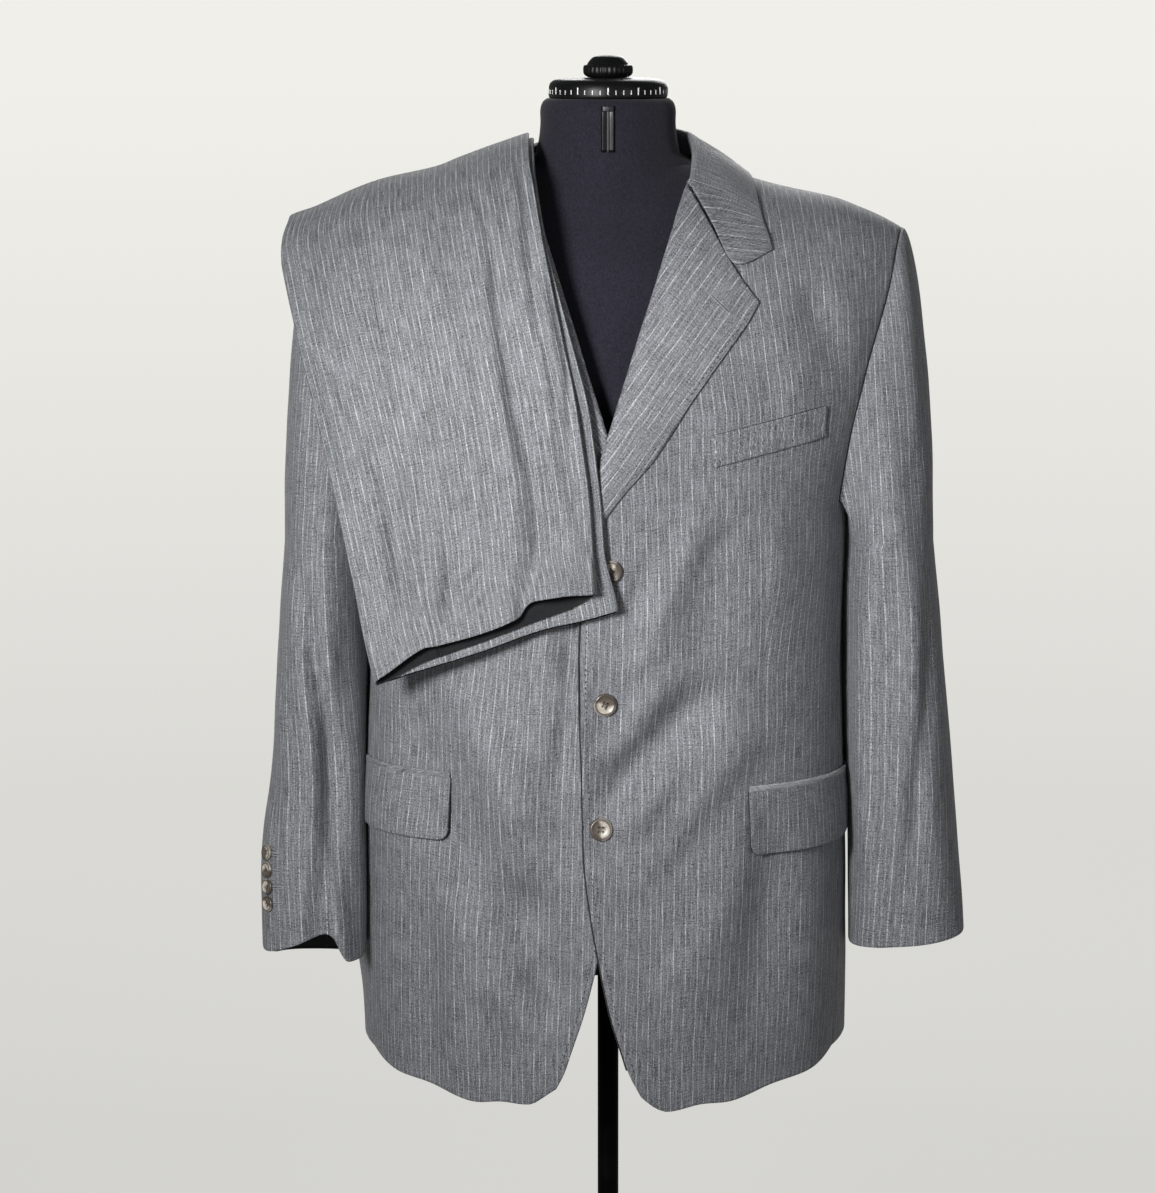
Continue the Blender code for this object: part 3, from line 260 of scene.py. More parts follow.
# height, half width, half depth
FORM_NECK = (
    (1.43, 0.078, 0.06), (1.455, 0.0735, 0.0605), (1.4735, 0.069, 0.06), (1.481, 0.0657, 0.0602),
    (1.492, 0.063, 0.0606), (1.508, 0.0613, 0.0613), (1.521, 0.0613, 0.0613), (1.5275, 0.059, 0.059),
    (1.5305, 0.0555, 0.0555),
)
SLOT_WIDTH = 0.0115
SLOT_RANGE = (1.484, 1.5235)
# size of the latch along x, y and z
LATCH = (0.0096, 0.003, 0.0048)
LATCH_CENTRE = (0.0, -0.0635, 1.5225)

# ---- folds: x, height of both ends (y, height on the sides), width, how far out

FRONT_FOLDS = (
    (0.095, 1.015, -0.004, 0.908, 0.017, -0.0155), (0.06, 1.035, -0.004, 0.95, 0.013, 0.005),
    (0.15, 0.99, 0.05, 0.865, 0.018, 0.0058), (0.09, 0.9, 0.01, 0.8, 0.018, -0.0024),
    (0.105, 0.83, 0.06, 0.72, 0.02, 0.0034), (0.145, 0.89, 0.125, 0.7, 0.022, -0.0085),
    (0.18, 0.86, 0.19, 0.66, 0.02, 0.003), (0.056, 1.09, 0.02, 1.03, 0.013, 0.0034),
    (0.034, 1.135, 0.024, 1.08, 0.009, -0.0042), (0.078, 1.17, 0.04, 1.075, 0.013, 0.005),
    (0.11, 1.16, 0.085, 1.04, 0.016, -0.0042), (0.15, 1.18, 0.142, 1.05, 0.016, 0.003),
    (0.1767, 1.3732, 0.2049, 1.3016, 0.012, -0.004), (0.14, 1.34, 0.17, 1.26, 0.018, 0.0026),
    (0.172, 1.2524, 0.1975, 1.239, 0.009, -0.0018), (-0.037, 1.085, -0.043, 0.94, 0.0085, -0.0125),
    (-0.06, 1.07, -0.062, 0.96, 0.013, 0.0044), (-0.128, 1.01, -0.075, 0.86, 0.027, 0.0165),
    (-0.175, 1.0, -0.165, 0.89, 0.018, -0.0065), (-0.09, 0.84, -0.05, 0.72, 0.024, -0.0155),
    (-0.125, 0.83, -0.135, 0.65, 0.018, 0.0036), (-0.165, 0.83, -0.17, 0.65, 0.017, -0.0036),
    (-0.07, 0.74, -0.065, 0.65, 0.015, 0.003),
)
BACK_FOLDS = (
    (0.115, 1.3, 0.14, 0.99, 0.02, -0.003), (0.07, 1.24, 0.085, 0.9, 0.022, 0.0018),
    (-0.12, 1.02, -0.13, 0.88, 0.018, -0.0018), (0.03, 1.035, 0.15, 1.075, 0.01, -0.0018),
    (0.04, 1.005, 0.16, 1.035, 0.01, 0.0014), (0.02, 1.0, 0.12, 1.01, 0.008, -0.001),
    (-0.06, 1.407, 0.07, 1.404, 0.008, -0.001), (0.17, 0.88, 0.168, 0.68, 0.018, 0.002),
    (-0.07, 0.83, -0.08, 0.68, 0.02, -0.002),
)
SIDE_FOLDS = (
    (-0.025, 1.1, -0.01, 0.86, 0.013, -0.002), (0.05, 1.04, 0.062, 0.72, 0.016, 0.002),
    (0.01, 0.86, 0.0, 0.68, 0.014, -0.0018),
)
SLEEVE_FRONT_FOLDS = (
    (0.245, 1.15, 0.2465, 0.79, 0.0095, 0.0046), (0.263, 1.26, 0.268, 0.8, 0.01, -0.0056),
    (0.29, 1.2, 0.304, 0.82, 0.011, 0.0036), (0.282, 1.33, 0.278, 1.18, 0.009, -0.0022),
    (0.276, 0.94, 0.286, 0.87, 0.007, -0.001), (-0.275, 1.09, -0.263, 0.755, 0.0095, -0.015),
    (-0.253, 1.07, -0.241, 0.755, 0.01, 0.008), (-0.3, 1.0, -0.295, 0.82, 0.008, 0.003),
    (-0.308, 1.1, -0.311, 0.89, 0.008, 0.0026), (-0.27, 1.2, -0.28, 1.05, 0.009, -0.0014),
)
SLEEVE_BACK_FOLDS = (
    (0.25, 1.02, 0.305, 0.99, 0.007, -0.0022), (0.245, 0.99, 0.3, 0.965, 0.007, 0.0016),
    (0.25, 0.965, 0.295, 0.945, 0.006, -0.0014), (0.28, 1.3, 0.285, 1.06, 0.01, -0.0014),
    (0.265, 0.92, 0.28, 0.8, 0.009, -0.0014), (-0.25, 1.06, -0.298, 1.03, 0.007, -0.0022),
    (-0.245, 1.025, -0.296, 1.0, 0.007, 0.0016), (-0.28, 1.3, -0.27, 1.09, 0.01, -0.0014),
    (-0.275, 0.96, -0.28, 0.8, 0.01, -0.0018),
)
TROUSER_FRONT_FOLDS = (
    (-0.2734, 1.409, -0.2232, 1.2569, 0.008, -0.0064), (-0.2232, 1.28, -0.18, 1.09, 0.0085, -0.0072),
    (-0.256, 1.36, -0.198, 1.12, 0.01, 0.0046), (-0.1246, 1.47, -0.095, 1.33, 0.006, -0.0052),
    (-0.0977, 1.39, -0.064, 1.21, 0.0065, -0.005), (-0.09, 1.5, -0.062, 1.35, 0.0045, -0.0052),
    (-0.0745, 1.47, -0.044, 1.28, 0.0042, -0.005), (-0.058, 1.39, -0.033, 1.23, 0.0045, -0.004),
    (-0.083, 1.36, -0.0735, 1.23, 0.007, -0.0036), (-0.0735, 1.27, -0.069, 1.07, 0.0075, -0.0056),
    (-0.0558, 1.3374, -0.0251, 1.1181, 0.009, 0.0046), (-0.0995, 1.29, -0.0902, 1.07, 0.01, 0.0052),
    (-0.144, 1.33, -0.124, 1.15, 0.0085, -0.0062), (-0.162, 1.4, -0.14, 1.22, 0.0095, 0.004),
    (-0.134, 1.0957, -0.108, 1.135, 0.006, -0.0048), (-0.125, 1.078, -0.098, 1.118, 0.007, 0.0044),
    (-0.172, 1.25, -0.156, 1.07, 0.0095, 0.0046), (-0.145, 1.17, -0.14, 1.05, 0.008, -0.0052),
    (-0.208, 1.4, -0.175, 1.26, 0.011, -0.0056), (-0.11, 1.44, -0.12, 1.33, 0.01, 0.003),
    (-0.235, 1.2, -0.215, 1.09, 0.012, 0.004),
)
# how far the trousers' outer side is lifted, where that fades, and how deep a fold may go
TROUSER_LIFT = 0.004
LIFT_FADE = (1.52, 1.45)
FOLD_FLOOR = -0.002
# how far the hem of the upper leg's front rises, of its back, and of the leg below it, by x
HEM_FRONT = (
    (-0.22, 0.0), (-0.197, 0.008), (-0.164, 0.02), (-0.148, 0.0175), (-0.107, 0.0125), (-0.085, 0.0125),
    (-0.0765, 0.013), (-0.0715, 0.02), (-0.064, 0.0225), (-0.04, 0.018), (-0.014, 0.0095),
    (0.01, 0.008),
)
HEM_BACK = (
    (-0.22, 0.0), (-0.19, 0.004), (-0.16, 0.009), (-0.11, 0.0065), (-0.06, 0.005), (-0.03, 0.0048),
    (-0.014, 0.0085), (0.01, 0.008),
)
HEM_UNDER = (
    (-0.22, 0.004), (-0.17, 0.004), (-0.11, -0.0005), (-0.06, -0.003), (-0.02, -0.0095),
    (0.01, -0.0115),
)
HEM_REACH = 0.075
TROUSER_BACK_FOLDS = (
    (-0.22, 1.35, -0.2, 0.95, 0.01, -0.0012), (-0.19, 1.3, -0.165, 0.9, 0.012, 0.0022),
    (-0.14, 1.32, -0.12, 1.02, 0.009, -0.0012), (-0.115, 1.24, -0.09, 1.0, 0.011, 0.0022),
    (-0.255, 1.25, -0.25, 0.92, 0.011, 0.0018), (-0.06, 1.12, 0.04, 0.9, 0.012, 0.002),
    (-0.1, 1.05, -0.02, 0.87, 0.009, -0.0012), (-0.18, 0.96, -0.24, 0.86, 0.009, -0.0012),
)
# side, x of the dart at the waist, top and foot
DARTS = ((1, 0.139, 1.155, 0.937), (-1, 0.159, 1.155, 0.947))
# how much cloth a dart takes in, over which height, and how far it reaches below the pocket
DART_INTAKE = 0.012
DART_RUN = 0.13
DART_BELOW = 0.012
# columns of a front at its dart, in metres, and the share of the front without others
DART_COLUMNS = (-0.0036, -0.0014, 0.0, 0.0014, 0.0036)
DART_CLEAR = 0.0165
RIPPLE = 0.00035
# height, its spread, spread across and depth of the roll at the foot of the lapel
LAPEL_ROLL = (1.197, 0.068, 0.042, 0.0056)
# place across, width and depth of the long ridge and its trough on the trousers' front
PIPE = ((-0.045, 0.019, 0.0085), (-0.0745, 0.0065, -0.006))
PIPE_START = (-0.005, -0.085)
# where the right edge of the lower leg stands out: from, to, how far
UNDER_LEG_EDGE = ((0.3, 0.8, 0.0045), (0.2, 0.0, -0.004), (-0.03, HEM_LEVEL, 0.0085))
# the seat of a flap, its length along the pocket, and how far its rear corner swells
FLAP_SEAT = 0.0009
FLAP_LENGTH = {1: 0.165, -1: 0.155}
FLAP_SWELL = 0.0036
# the middle of a lower arm: x and y; round a cuff; where the cloth lies still below the buttons
ARM_MIDDLE = (0.275, -0.04)
CUFF_ROUND = 0.25
BUTTON_REST = (0.885, 0.87)
BUTTON_REST_WIDTH = 0.045
# rows of pick stitches: heights on the fronts, distance from the edge of front and lapel
STITCHED = (1.15, 0.668)
EDGE_INSET = (0.0055, 0.0052)
# the lapel's hole: x and z of its upper end, and its direction
LAPEL_HOLE = (0.089, 1.362)
LAPEL_HOLE_WAY = (0.728, -0.686)
# heights between which the small folds fade under the collar, the fronts are tucked in towards
# the hem, the cuffs' own line begins, and the trousers' folds fade over the shoulder
COLLAR_FADE = (1.43, 1.36)
TUCK = (0.76, 0.63)
TUCK_DEPTH = {1: 0.005, -1: 0.0025}
CUFF_FADE = (0.86, 0.77)
SHOULDER_FADE = (1.50, 1.45)


# ---- curves and surfaces, over arrays of places

def through(keys, values, at):
    """Smooth curve through values at keys, at any place: the first axis of values is along it."""
    keys = np.asarray(keys, float)
    values = np.asarray(values, float)
    at = np.clip(np.asarray(at, float), keys[0], keys[-1])
    i = np.clip(np.searchsorted(keys, at, side="right") - 1, 0, len(keys) - 2)
    low = np.maximum(np.arange(len(keys)) - 1, 0)
    high = np.minimum(np.arange(len(keys)) + 1, len(keys) - 1)
    more = (slice(None),) + (None,) * (values.ndim - 1)
    slope = (values[high] - values[low]) / (keys[high] - keys[low])[more]
    step = keys[i + 1] - keys[i]
    u = (at - keys[i]) / step
    if values.ndim > 1:
        u, step = u[more], step[more]
    return ((2*u**3 - 3*u*u + 1) * values[i] + (u**3 - 2*u*u + u) * slope[i] * step
            + (3*u*u - 2*u**3) * values[i + 1] + (u**3 - u*u) * slope[i + 1] * step)


def smooth(table, at, column=1):
    return through([row[0] for row in table], [row[column] for row in table], at)


def mix(a, b, share):
    return a + (b - a) * share


def hand(side):
    return "left" if side > 0 else "right"


def stacked(*parts):
    """The parts side by side along a new last axis."""
    return np.stack(parts, axis=-1)


def ease(low, high, at):
    u = np.clip((at - low) / (high - low), 0.0, 1.0)
    return u * u * (3 - 2 * u)


def power_of(value, exponent):
    return np.sign(value) * np.abs(value) ** exponent


def rounded(share, power):
    return (1 - np.minimum(np.abs(share), 1.0) ** power) ** (1 / power)


def unit(vectors):
    length = np.linalg.norm(vectors, axis=-1, keepdims=True)
    return vectors / np.maximum(length, 1e-12)


def spread(length, step, edge=(0.0007, 0.0018, 0.0036)):
    """Shares from 0 to 1 about one step apart, with close ones at both ends."""
    inner = np.linspace(edge[-1], length - edge[-1], max(int(length / step), 2) + 1)
    ends = np.array((0.0,) + edge[:-1])
    return np.concatenate((ends, inner, (length - ends)[::-1])) / length


def folds(lines, a, b):
    """Sum of soft uneven troughs and ridges along the lines of a table."""
    total = np.zeros(np.broadcast(a, b).shape)
    for number, (a0, b0, a1, b1, width, depth) in enumerate(lines):
        da, db = a1 - a0, b1 - b0
        length = math.hypot(da, db)
        along = ((a - a0) * da + (b - b0) * db) / length**2
        across = ((a - a0) * db - (b - b0) * da) / length
        bow = (0.05 if number % 2 else -0.04) * length * np.sin(math.pi * along)
        fade = ease(-0.2, 0.35, along) * ease(1.2, 0.7, along)
        grown = width * (1 + 0.25 * np.sin(4.0 * along + number))
        uneven = 1 + 0.2 * np.sin(9.0 * along + 2.0 * number)
        off = (across + bow) / grown
        beside = 1.7 if number % 3 else -1.7
        total = total + depth * uneven * fade * (np.exp(-off**2) - 0.4 * np.exp(-(off - beside)**2))
    return total


def ripple(a, b, seed, size=0.11):
    """A faint unevenness of pressed cloth, from -1 to 1."""
    total = np.zeros(np.broadcast(a, b).shape)
    for k in range(7):
        turn = 2.4 * k + seed
        wave = 2 * math.pi / (size * (0.55 + 0.21 * k))
        total = total + np.sin(wave * (a * math.cos(turn) + b * math.sin(turn)) + 1.7 * k * seed)
    return total / 4


def shoulder_line(x):
    return smooth(SHOULDER_LINE, np.abs(x))


def half_width(level, z):
    above = smooth(UPPER_WIDTH, np.maximum(level, 0.0))
    return np.where(level > 0, above, smooth(BODY_SECTIONS, z, 2))


def body(angle, level):
    """Outer side of the jacket, without its smaller folds.

    angle is in degrees from the front to the wearer's left; level is metres below the armholes'
    foot as a negative number, or a share of the way from there to the shoulder line.
    """
    angle, level = np.broadcast_arrays(np.asarray(angle, float), np.asarray(level, float))
    z = ARM_Z + np.minimum(level, 0.0)
    centre, front, back, power = (smooth(BODY_SECTIONS, z, k) for k in (1, 3, 4, 5))
    width = half_width(level, z)
    s, c = np.sin(np.radians(angle)), np.cos(np.radians(angle))
    swing = sum(depth * np.exp(-((angle - at) / wide)**2 - ((z - height) / tall)**2)
                for at, wide, height, tall, depth in SWINGS)
    x = (width + swing) * power_of(s, 2 / power)
    y = -(np.where(c > 0, front, back) + swing) * power_of(c, 2 / power)
    rise = np.radians(90 * np.clip(level, 0.0, 1.0))
    z = np.where(level > 0, ARM_Z + (shoulder_line(x) - ARM_Z) * np.sin(rise)**(2 / SHOULDER_POWER), z)
    y = np.where(level > 0, y * np.maximum(np.cos(rise), 0.0)**(2 / SHOULDER_POWER), y)
    return stacked(centre + x, y, z)


def body_normal(angle, level):
    step = 0.01
    low = np.minimum(level, 0.995) - step
    along = body(np.asarray(angle) + 0.2, level) - body(np.asarray(angle) - 0.2, level)
    up = body(angle, low + 2 * step) - body(angle, low)
    return unit(np.cross(along, up))


def relief(point, normal):
    """How far the smaller folds lift or sink the trunk's cloth."""
    x, y, z = point[..., 0], point[..., 1], point[..., 2]
    nx, ny = normal[..., 0], normal[..., 1]
    out = ease(0.05, 0.5, -ny) * folds(FRONT_FOLDS, x, z)
    out = out + ease(0.05, 0.5, ny) * folds(BACK_FOLDS, x, z)
    out = out + ease(0.5, 0.9, np.abs(nx)) * folds(SIDE_FOLDS, y, z)
    for side, dart_x, top, foot in DARTS:
        dent = np.exp(-((side * x - dart_x) / 0.0022)**2) * ease(foot - 0.004, foot + 0.02, z)
        out = out - 0.0007 * dent * ease(top, top - 0.05, z) * ease(0.0, 0.3, -ny)
    tuck = ease(*TUCK, z) * ease(0.02, 0.13, np.abs(x)) * ease(0.0, 0.4, -ny)
    out = out - tuck * np.where(x > 0, TUCK_DEPTH[1], TUCK_DEPTH[-1])
    return (out + RIPPLE * ripple(x + 0.7 * y, z, 1.0)) * ease(*COLLAR_FADE, z)


def skin(angle, level, out=0.0, folded=1.0):
    """A place on the jacket's cloth with its folds."""
    base = body(angle, level)
    normal = body_normal(angle, level)
    return base + normal * (np.asarray(out) + folded * relief(base, normal))[..., None]


def angle_at(x, level, behind=False):
    x, level = np.broadcast_arrays(np.asarray(x, float), np.asarray(level, float))
    z = ARM_Z + np.minimum(level, 0.0)
    share = (x - smooth(BODY_SECTIONS, z, 1)) / half_width(level, z)
    angle = np.degrees(np.arcsin(np.minimum(np.abs(share), 1.0) ** (smooth(BODY_SECTIONS, z, 5) / 2)))
    angle = np.where(behind, 180 - angle, angle)
    return np.where(share < 0, -angle, angle)


def level_at(x, z):
    share = np.clip((z - ARM_Z) / (shoulder_line(x) - ARM_Z), 0.0, 1.0)
    up = np.degrees(np.arcsin(share ** (SHOULDER_POWER / 2))) / 90
    return np.where(z <= ARM_Z, z - ARM_Z, up)


def on_body(x, z, out=0.0, behind=False):
    level = level_at(x, z)
    return skin(angle_at(x, level, behind), level, out)


def front_x(side, z):
    return smooth(CENTRE_LINE, z) + side * smooth(FRONT_EDGE, z)


def lift(side, x, z):
    """How far the left front stands out over the right one."""
    if side < 0:
        return np.zeros(np.broadcast(x, z).shape)
    lap = LAP * (1 - ease(0.03, 0.066, x - smooth(CENTRE_LINE, z))) * (1 - ease(1.24, 1.32, z))
    height, tall, wide, depth = LAPEL_ROLL
    return lap + depth * np.exp(-((z - height) / tall)**2 - (x / wide)**2)


def on_front(side, x, z, out=0.0):
    return on_body(side * x, z, np.asarray(out) + lift(side, side * x, z))


def running(points, axis):
    """Length along one axis of a grid of points, from its start."""
    steps = np.linalg.norm(np.diff(points, axis=axis), axis=-1)
    first = np.zeros_like(np.take(steps, [0], axis=axis))
    return np.concatenate((first, np.cumsum(steps, axis=axis)), axis=axis)


def grid_normals(points, outward, column=None):
    """Normals of a grid, turned so that one in its middle row faces along outward."""
    normals = unit(np.cross(np.gradient(points, axis=1), np.gradient(points, axis=0)))
    rows, columns = points.shape[:2]
    if np.dot(normals[rows // 2, columns // 2 if column is None else column], outward) < 0:
        normals = -normals
    return normals


def round_off(points, outward, depth=0.0008, reach=0.0012, column=None):
    """Lets the cloth dip at the borders of a piece, as a sewn or turned edge does."""
    across, down = running(points, 1), running(points, 0)
    far = np.min([across, across[:, -1:] - across, down, down[-1:] - down], axis=0)
    dip = depth * np.exp(-(far / reach)**2)
    return points - grid_normals(points, outward, column) * dip[..., None]


def finer(grid, rows, columns):
    """A coarse grid of points at other shares of its rows and columns, as one smooth sheet."""
    grid = np.asarray(grid, float)
    down = running(grid, 0).mean(axis=1)
    across = running(grid, 1).mean(axis=0)
    middle = through(down / down[-1], grid, rows)
    return np.swapaxes(through(across / across[-1], np.swapaxes(middle, 0, 1), columns), 0, 1)


# ---- pieces

cuts = {}


def place_object(name, data):
    obj = bpy.data.objects.new(name, data)
    bpy.context.scene.collection.objects.link(obj)
    return obj


def adopt(obj, nodes=(), carrier=SUIT):
    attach(obj, carrier)
    if nodes:
        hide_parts(*nodes)
    return obj


def new_mesh(name, points, faces, stuffs, edges=()):
    mesh = bpy.data.meshes.new(name)
    mesh.from_pydata([tuple(point) for point in points], list(edges), [tuple(face) for face in faces])
    mesh.update()
    for stuff in stuffs:
        mesh.materials.append(stuff)
    mesh.shade_smooth()
    return place_object(name, mesh)


def from_bmesh(name, shape, stuffs=()):
    """A mesh of its own from a bmesh, which it ends."""
    mesh = bpy.data.meshes.new(name)
    shape.to_mesh(mesh)
    shape.free()
    for stuff in stuffs:
        mesh.materials.append(stuff)
    return mesh


def grid_faces(rows, across):
    """The faces of a grid of points, row by row."""
    r, c = np.meshgrid(np.arange(rows - 1), np.arange(across - 1), indexing="ij")
    start = (r * across + c).ravel()
    return np.stack([start, start + 1, start + across + 1, start + across], axis=1)


def ring_faces(rings, around, start=0, closed=False):
    """Faces between rings of points, each to the next and of a closed row also the last to the first."""
    faces = []
    for k in range(rings if closed else rings - 1):
        here, there = start + k * around, start + (k + 1) % rings * around
        for j in range(around):
            n = (j + 1) % around
            faces.append((here + j, here + n, there + n, there + j))
    return faces


def end_faces(rings, around):
    return [tuple(range(around))[::-1], tuple(range((rings - 1) * around, rings * around))]


def thicken(obj, wall, offset):
    solid = obj.modifiers.new("Wall", "SOLIDIFY")
    solid.thickness = wall
    solid.offset = offset
    return solid


def cloth(name, points, places, stuffs, wall, outward, node, offset=-1.0,
          jump=None, column=None):
    """A cloth piece from a grid of points and one of places on the flat cloth, in metres.

    outward is where the middle face looks, or the face of another column in the middle row. jump is
    a column and what is added to the places' first value from there on.
    """
    rows, across = points.shape[:2]
    faces = grid_faces(rows, across)
    a, b, c, d = (points.reshape(-1, 3)[faces[:, k]] for k in range(4))
    middle = (rows - 1) // 2 * (across - 1) + ((across - 1) // 2 if column is None else column)
    turned_in = np.dot(np.cross(c[middle] - a[middle], d[middle] - b[middle]), outward) < 0
    flat = places.reshape(-1, 2)[faces]
    if jump is not None:
        start, added = jump
        beyond = faces[:, 0] % across >= start
        flat[..., 0] += np.where(beyond[:, None], np.repeat(added, across)[faces], 0.0)
    if turned_in:
        faces, flat = faces[:, ::-1], flat[:, ::-1]
    ahead, down = np.diff(places, axis=1)[:-1], np.diff(places, axis=0)[:, :-1]
    area = np.abs(ahead[..., 0] * down[..., 1] - ahead[..., 1] * down[..., 0]).sum()
    size = np.ptp(places.reshape(-1, 2), axis=0)
    cuts[name] = (max(float(size[0]), 0.01), max(float(size[1]), 0.01), float(area))
    obj = new_mesh(name, points.reshape(-1, 3), faces, stuffs)
    obj.data.uv_layers.new(name="Cloth").data.foreach_set("uv", flat.astype(np.float32).ravel())
    thicken(obj, wall, offset).material_offset = len(stuffs) - 1
    return adopt(obj, [node])


def turned(name, profile, stuff, segments=96):
    """A solid of revolution about Z from (radius, height) pairs, top to bottom."""
    outline = [(0.0, profile[0][1])] + list(profile) + [(0.0, profile[-1][1])]
    edges = [(k, k + 1) for k in range(len(outline) - 1)]
    obj = new_mesh(name, [(r, 0.0, z) for r, z in outline], [], [stuff], edges)
    screw = obj.modifiers.new("Turn", "SCREW")
    screw.axis = "Z"
    screw.steps = screw.render_steps = segments
    screw.use_merge_vertices = True
    screw.merge_threshold = 0.00002
    screw.use_smooth_shade = True
    return obj


def eased(profile):
    """A profile with its corners rounded twice."""
    points = np.array(profile, float)
    for _ in range(2):
        cut = [points[0]]
        for a, b in zip(points, points[1:]):
            cut += [mix(a, b, 0.22), mix(a, b, 0.78)]
        points = np.array(cut + [points[-1]])
    return [tuple(point) for point in points]


# ---- materials

class Stuff:
    """A material, and short ways to add nodes to it."""

    def __init__(self, name, roughness, **constants):
        self.material = bpy.data.materials.new(name)
        self.material.use_nodes = True
        self.tree = self.material.node_tree
        self.shader = self.tree.nodes["Principled BSDF"]
        self.shader.inputs["Roughness"].default_value = roughness
        for key, value in constants.items():
            self.shader.inputs[key.replace("_", " ")].default_value = value

    def put(self, socket, value):
        if isinstance(value, bpy.types.NodeSocket):
            self.tree.links.new(value, socket)
        else:
            socket.default_value = value

    def node(self, kind, inputs, output=0, **settings):
        made_node = self.tree.nodes.new("ShaderNode" + kind)
        for key, value in settings.items():
            setattr(made_node, key, value)
        for key, value in inputs.items():
            self.put(made_node.inputs[key], value)
        return made_node.outputs[output]

    def maths(self, operation, a, b=0.0):
        return self.node("Math", {0: a, 1: b}, operation=operation)

    def noise(self, vector, scale, detail=2.0, roughness=0.5):
        return self.node("TexNoise", {"Vector": vector, "Scale": scale, "Detail": detail,
                                      "Roughness": roughness})

    def stretched(self, vector, factors):
        return self.node("VectorMath", {0: vector, 1: factors}, operation="MULTIPLY")

    def threads(self, vector, factors, detail=1.0, roughness=0.5):
        """Noise with a scale of its own in each direction."""
        return self.noise(self.stretched(vector, factors), 1.0, detail, roughness)

    def own_place(self):
        """Coordinates of the object."""
        return self.node("TexCoord", {}, output=3)

    def span(self, value, low, high, to_low=0.0, to_high=1.0, kind="SMOOTHSTEP"):
        return self.node("MapRange", {0: value, 1: low, 2: high, 3: to_low, 4: to_high},
                         interpolation_type=kind)

    def blend(self, share, a, b, kind="MIX"):
        return self.node("Mix", {0: share, 6: a, 7: b}, output=2, data_type="RGBA", blend_type=kind)

    def linear(self, value, low, high, to_low=0.0, to_high=1.0):
        return self.span(value, low, high, to_low, to_high, "LINEAR")

    def colour(self, value, tone=None):
        """The base colour, times a tone where one is given."""
        if tone is not None:
            grey = self.node("CombineColor", {0: tone, 1: tone, 2: tone})
            value = self.blend(1.0, value, grey, "MULTIPLY")
        self.put(self.shader.inputs["Base Color"], value)

    def bump(self, height, strength, distance):
        normal = self.node("Bump", {"Strength": strength, "Distance": distance, "Height": height})
        self.put(self.shader.inputs["Normal"], normal)


def rgb(*values):
    return (*values, 1.0)


STRIPE_STEP = 0.0105
TWILL_STEP = 0.0011


def suiting(name, base, stripe, stripe_share, faint_share):
    """Heathered twill with broken pin stripes, along the second place of the cloth."""
    stuff = Stuff(name, 0.55, Sheen_Weight=0.15, Sheen_Roughness=0.35, Specular_IOR_Level=0.5)
    place = stuff.node("UVMap", {}, uv_map="Cloth")
    apart = stuff.node("SeparateXYZ", {0: place})
    along = apart.node.outputs[1]
    warp = stuff.threads(place, (1050.0, 50.0, 1.0))
    ends = stuff.threads(place, (300.0, 6.0, 1.0))
    weft = stuff.threads(place, (60.0, 1050.0, 1.0))
    grains = stuff.threads(place, (800.0, 700.0, 1.0), roughness=0.7)
    slub = stuff.threads(place, (18.0, 520.0, 1.0))
    cloud = stuff.noise(place, 20.0, 3.0, 0.55)
    tone = stuff.maths("ADD", stuff.linear(warp, 0.34, 0.66, -0.32, 0.32),
                       stuff.linear(weft, 0.34, 0.66, -0.18, 0.18))
    tone = stuff.maths("ADD", tone, stuff.linear(ends, 0.34, 0.66, -0.06, 0.06))
    tone = stuff.maths("ADD", tone, stuff.linear(grains, 0.3, 0.7, -0.58, 0.58))
    tone = stuff.maths("ADD", tone, stuff.span(slub, 0.3, 0.4, -0.07, 0.0))
    tone = stuff.maths("ADD", tone, stuff.linear(cloud, 0.3, 0.7, -0.06, 0.06))
    tone = stuff.maths("ADD", tone, 1.0)
    waver = stuff.maths("MULTIPLY", stuff.maths("SUBTRACT", warp, 0.5), 0.0004)
    across = stuff.maths("ADD", apart, waver)
    near = stuff.maths("PINGPONG", across, STRIPE_STEP / 2)
    other = stuff.maths("SUBTRACT", STRIPE_STEP / 2, near)
    broken = stuff.noise(stuff.node("CombineXYZ", {0: stuff.maths("MULTIPLY", across, 95.0),
                                                   1: stuff.maths("MULTIPLY", along, 300.0)}),
                         1.0, 2.0, 0.7)
    shown = stuff.span(broken, 0.34, 0.6, 0.5, 1.0)
    main = stuff.maths("MULTIPLY", stuff.span(near, 0.00022, 0.00064, stripe_share, 0.0), shown)
    faint = stuff.maths("MULTIPLY", stuff.span(other, 0.00025, 0.00075, faint_share, 0.0), shown)
    marked = stuff.blend(stuff.maths("ADD", main, faint), rgb(*base), rgb(*stripe))
    stuff.colour(marked, tone)
    diagonal = stuff.maths("MULTIPLY", stuff.maths("ADD", apart, along), 2 * math.pi / TWILL_STEP)
    twill = stuff.maths("SINE", diagonal)
    height = stuff.maths("ADD", stuff.maths("ADD", warp, weft), stuff.maths("MULTIPLY", twill, 0.18))
    stuff.bump(stuff.maths("ADD", height, grains), 0.6, 0.0006)
    return stuff.material


